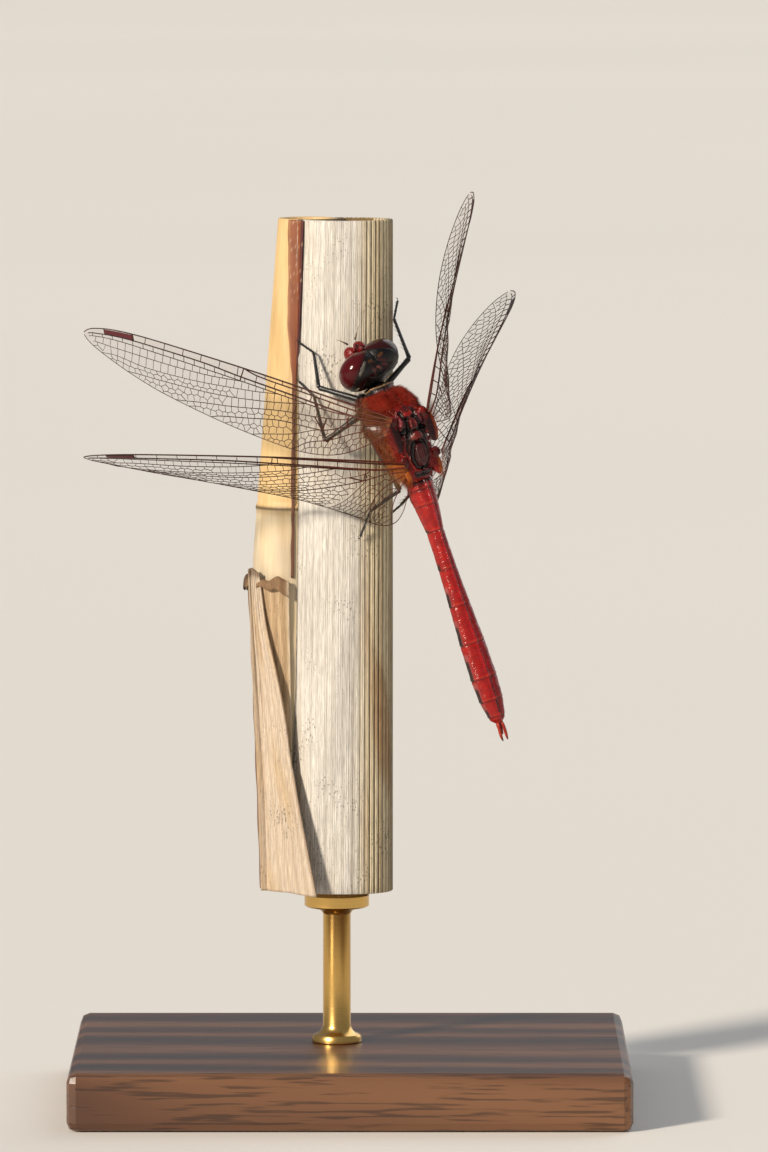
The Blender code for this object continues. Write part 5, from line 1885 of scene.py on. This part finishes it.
def colour_prop(name, description, code):
    return FloatVectorProperty(
        name=name, description=description, default=linear(code), subtype="COLOR", min=0.0, max=1.0,
    )


def number_prop(name, description, default, low, high, **options):
    return FloatProperty(
        name=name, description=description, default=default, min=low, max=high, **options,
    )


class DarterCuticle(bpy.types.PropertyGroup):
    """Colours of the insect's hard skin, and the thickness of its legs."""

    eye_colour: colour_prop("Eye", "Colour of the upper part of the eyes", "#4c060b")
    face_colour: colour_prop("Face", "Colour of the brow and lips", "#7c0f0c")
    thorax_colour: colour_prop("Thorax", "Colour of the back of the thorax", "#8c150c")
    abdomen_colour: colour_prop("Abdomen", "Colour of the abdomen", "#a30d0f")
    leg_colour: colour_prop("Legs", "Colour of the legs", "#0c0c0d")
    leg_thickness: number_prop("Thigh", "Thickness of a thigh, in millimetres", 0.5, 0.3, 0.6)


class DarterCoat(bpy.types.PropertyGroup):
    """Sizes of the down on the thorax."""

    tufts: IntProperty(
        name="Tufts", description="Number of tufts of down", default=5200, min=100, max=6500,
    )
    hair_length: number_prop("Hair length", "Length of a hair, in millimetres", 0.7, 0.1, 0.8)
    hair_radius: number_prop(
        "Hair radius", "Radius of a hair at its root, in millimetres", 0.02, 0.005, 0.04,
    )
    hair_rise: number_prop(
        "Hair rise", "How far a hair stands off the skin, as a share of its length", 0.7, 0.0, 1.0,
    )


class DarterWings(bpy.types.PropertyGroup):
    """Sizes and colour of the wings' membrane and veins."""

    vein_colour: colour_prop("Veins", "Colour of the veins", "#38190a")
    fine_vein: number_prop(
        "Fine vein", "Thickness of a cell wall, in millimetres", 0.058, 0.02, 0.1,
    )
    membrane_thickness: number_prop(
        "Membrane", "Thickness of the membrane, in millimetres", 0.02, 0.01, 0.1,
    )


class DarterReed(bpy.types.PropertyGroup):
    """Colours of the reed."""

    sheath_colour: colour_prop("Sheath", "Colour of the bleached leaf sheath", "#ece7de")
    culm_colour: colour_prop("Culm", "Colour of the bare stem", "#e0c08a")


class DarterStage(bpy.types.PropertyGroup):
    """Light, lens and floor of the studio."""

    floor_colour: colour_prop("Floor", "Colour of the studio floor", "#f0ede8")
    key_strength: number_prop("Key light", "Strength of the broad sun", 4.0, 0.0, 100.0)
    sky_strength: number_prop("Sky", "Strength of the even light", 0.27, 0.0, 10.0)
    lens: number_prop("Lens", "Focal length of the camera", 293.5, 20.0, 1000.0, unit="CAMERA")


class DARTER_OT_head(bpy.types.Operator):
    """Build the head: eyes, skin and feelers"""

    bl_idname = "darter.head"
    bl_label = "Head"

    def execute(self, context):
        settings = context.scene.darter_cuticle
        make_eyes(settings)
        make_head_skin(settings)
        make_feelers()
        return {"FINISHED"}


class DARTER_OT_body(bpy.types.Operator):
    """Build the skins of the thorax and the abdomen"""

    bl_idname = "darter.body"
    bl_label = "Thorax and abdomen"

    def execute(self, context):
        settings = context.scene.darter_cuticle
        make_thorax_skin(settings)
        make_abdomen_skin(settings)
        return {"FINISHED"}


class DARTER_OT_coat(bpy.types.Operator):
    """Grow the down on the thorax"""

    bl_idname = "darter.coat"
    bl_label = "Down"

    def execute(self, context):
        make_coat(context.scene.darter_coat)
        return {"FINISHED"}


class DARTER_OT_wings(bpy.types.Operator):
    """Build the four wings: membrane, veins and stigma"""

    bl_idname = "darter.wings"
    bl_label = "Wings"

    def execute(self, context):
        settings = context.scene.darter_wings
        membrane = wing_membrane()
        vein = cuticle("vein_cuticle", 0.2, 0.6, 0.1, 0.01, Roughness=0.4, IOR=1.36)
        stigma = cuticle("stigma_cuticle", 0.2, 0.4, 0.08, 0.01, Roughness=0.3, IOR=1.56)
        for name in WING_POSE:
            make_wing(name, settings, membrane, vein, stigma)
        return {"FINISHED"}


class DARTER_OT_legs(bpy.types.Operator):
    """Build the six legs, with bristles and claws"""

    bl_idname = "darter.legs"
    bl_label = "Legs"

    def execute(self, context):
        settings = context.scene.darter_cuticle
        finish = cuticle(
            "leg_cuticle", 0.2, 0.4, 0.06, 0.02, Roughness=0.3, IOR=1.56, Coat_Weight=0.3,
            Coat_Roughness=0.2,
        )
        for name, points in LEG_POINTS.items():
            make_leg(name, points, finish, settings)
        return {"FINISHED"}


class DARTER_OT_reed(bpy.types.Operator):
    """Build the reed: sheath, culm, sheath margin and old leaf"""

    bl_idname = "darter.reed"
    bl_label = "Reed"

    def execute(self, context):
        settings = context.scene.darter_reed
        rough = plant_fibre("bleached_sheath", 0.08, 0.06, 0.46, 0.36, Roughness=0.85)
        smooth = plant_fibre("dry_culm", 0.3, 0.015, 0.16, 0.06, Roughness=0.55)
        make_sheath(settings, rough)
        make_culm(settings, smooth)
        make_margin(smooth)
        make_leaf_clasp(rough)
        make_leaf_blade(rough)
        return {"FINISHED"}


class DARTER_OT_stand(bpy.types.Operator):
    """Finish the stand: walnut base, brass rod and cap"""

    bl_idname = "darter.stand"
    bl_label = "Stand"

    def execute(self, context):
        make_stand()
        return {"FINISHED"}


class DARTER_OT_stage(bpy.types.Operator):
    """Set the floor, the lamps and the camera"""

    bl_idname = "darter.stage"
    bl_label = "Stage"

    def execute(self, context):
        make_stage(context.scene.darter_stage)
        return {"FINISHED"}


GROUPS = {
    "darter_cuticle": DarterCuticle,
    "darter_coat": DarterCoat,
    "darter_wings": DarterWings,
    "darter_reed": DarterReed,
    "darter_stage": DarterStage,
}
OPERATORS = (
    DARTER_OT_head, DARTER_OT_body, DARTER_OT_coat, DARTER_OT_wings, DARTER_OT_legs,
    DARTER_OT_reed, DARTER_OT_stand, DARTER_OT_stage,
)


class DARTER_PT_sidebar(bpy.types.Panel):
    """Lists the settings and the steps of the build"""

    bl_idname = "DARTER_PT_sidebar"
    bl_label = "Ruddy darter"
    bl_space_type = "VIEW_3D"
    bl_region_type = "UI"
    bl_category = "Darter"

    def draw(self, context):
        for name, group in GROUPS.items():
            box = self.layout.box()
            for key in group.__annotations__:
                box.prop(getattr(context.scene, name), key)
        for operator in OPERATORS:
            self.layout.operator(operator.bl_idname)


def register():
    for made in (*GROUPS.values(), *OPERATORS, DARTER_PT_sidebar):
        bpy.utils.register_class(made)
    for name, group in GROUPS.items():
        setattr(bpy.types.Scene, name, PointerProperty(type=group))


def unregister():
    for name in GROUPS:
        delattr(bpy.types.Scene, name)
    for made in reversed((*GROUPS.values(), *OPERATORS, DARTER_PT_sidebar)):
        bpy.utils.unregister_class(made)


def main():
    register()
    for operator in OPERATORS:
        step = operator.bl_idname.split(".")[1]
        getattr(bpy.ops.darter, step)()


if __name__ == "__main__":
    main()
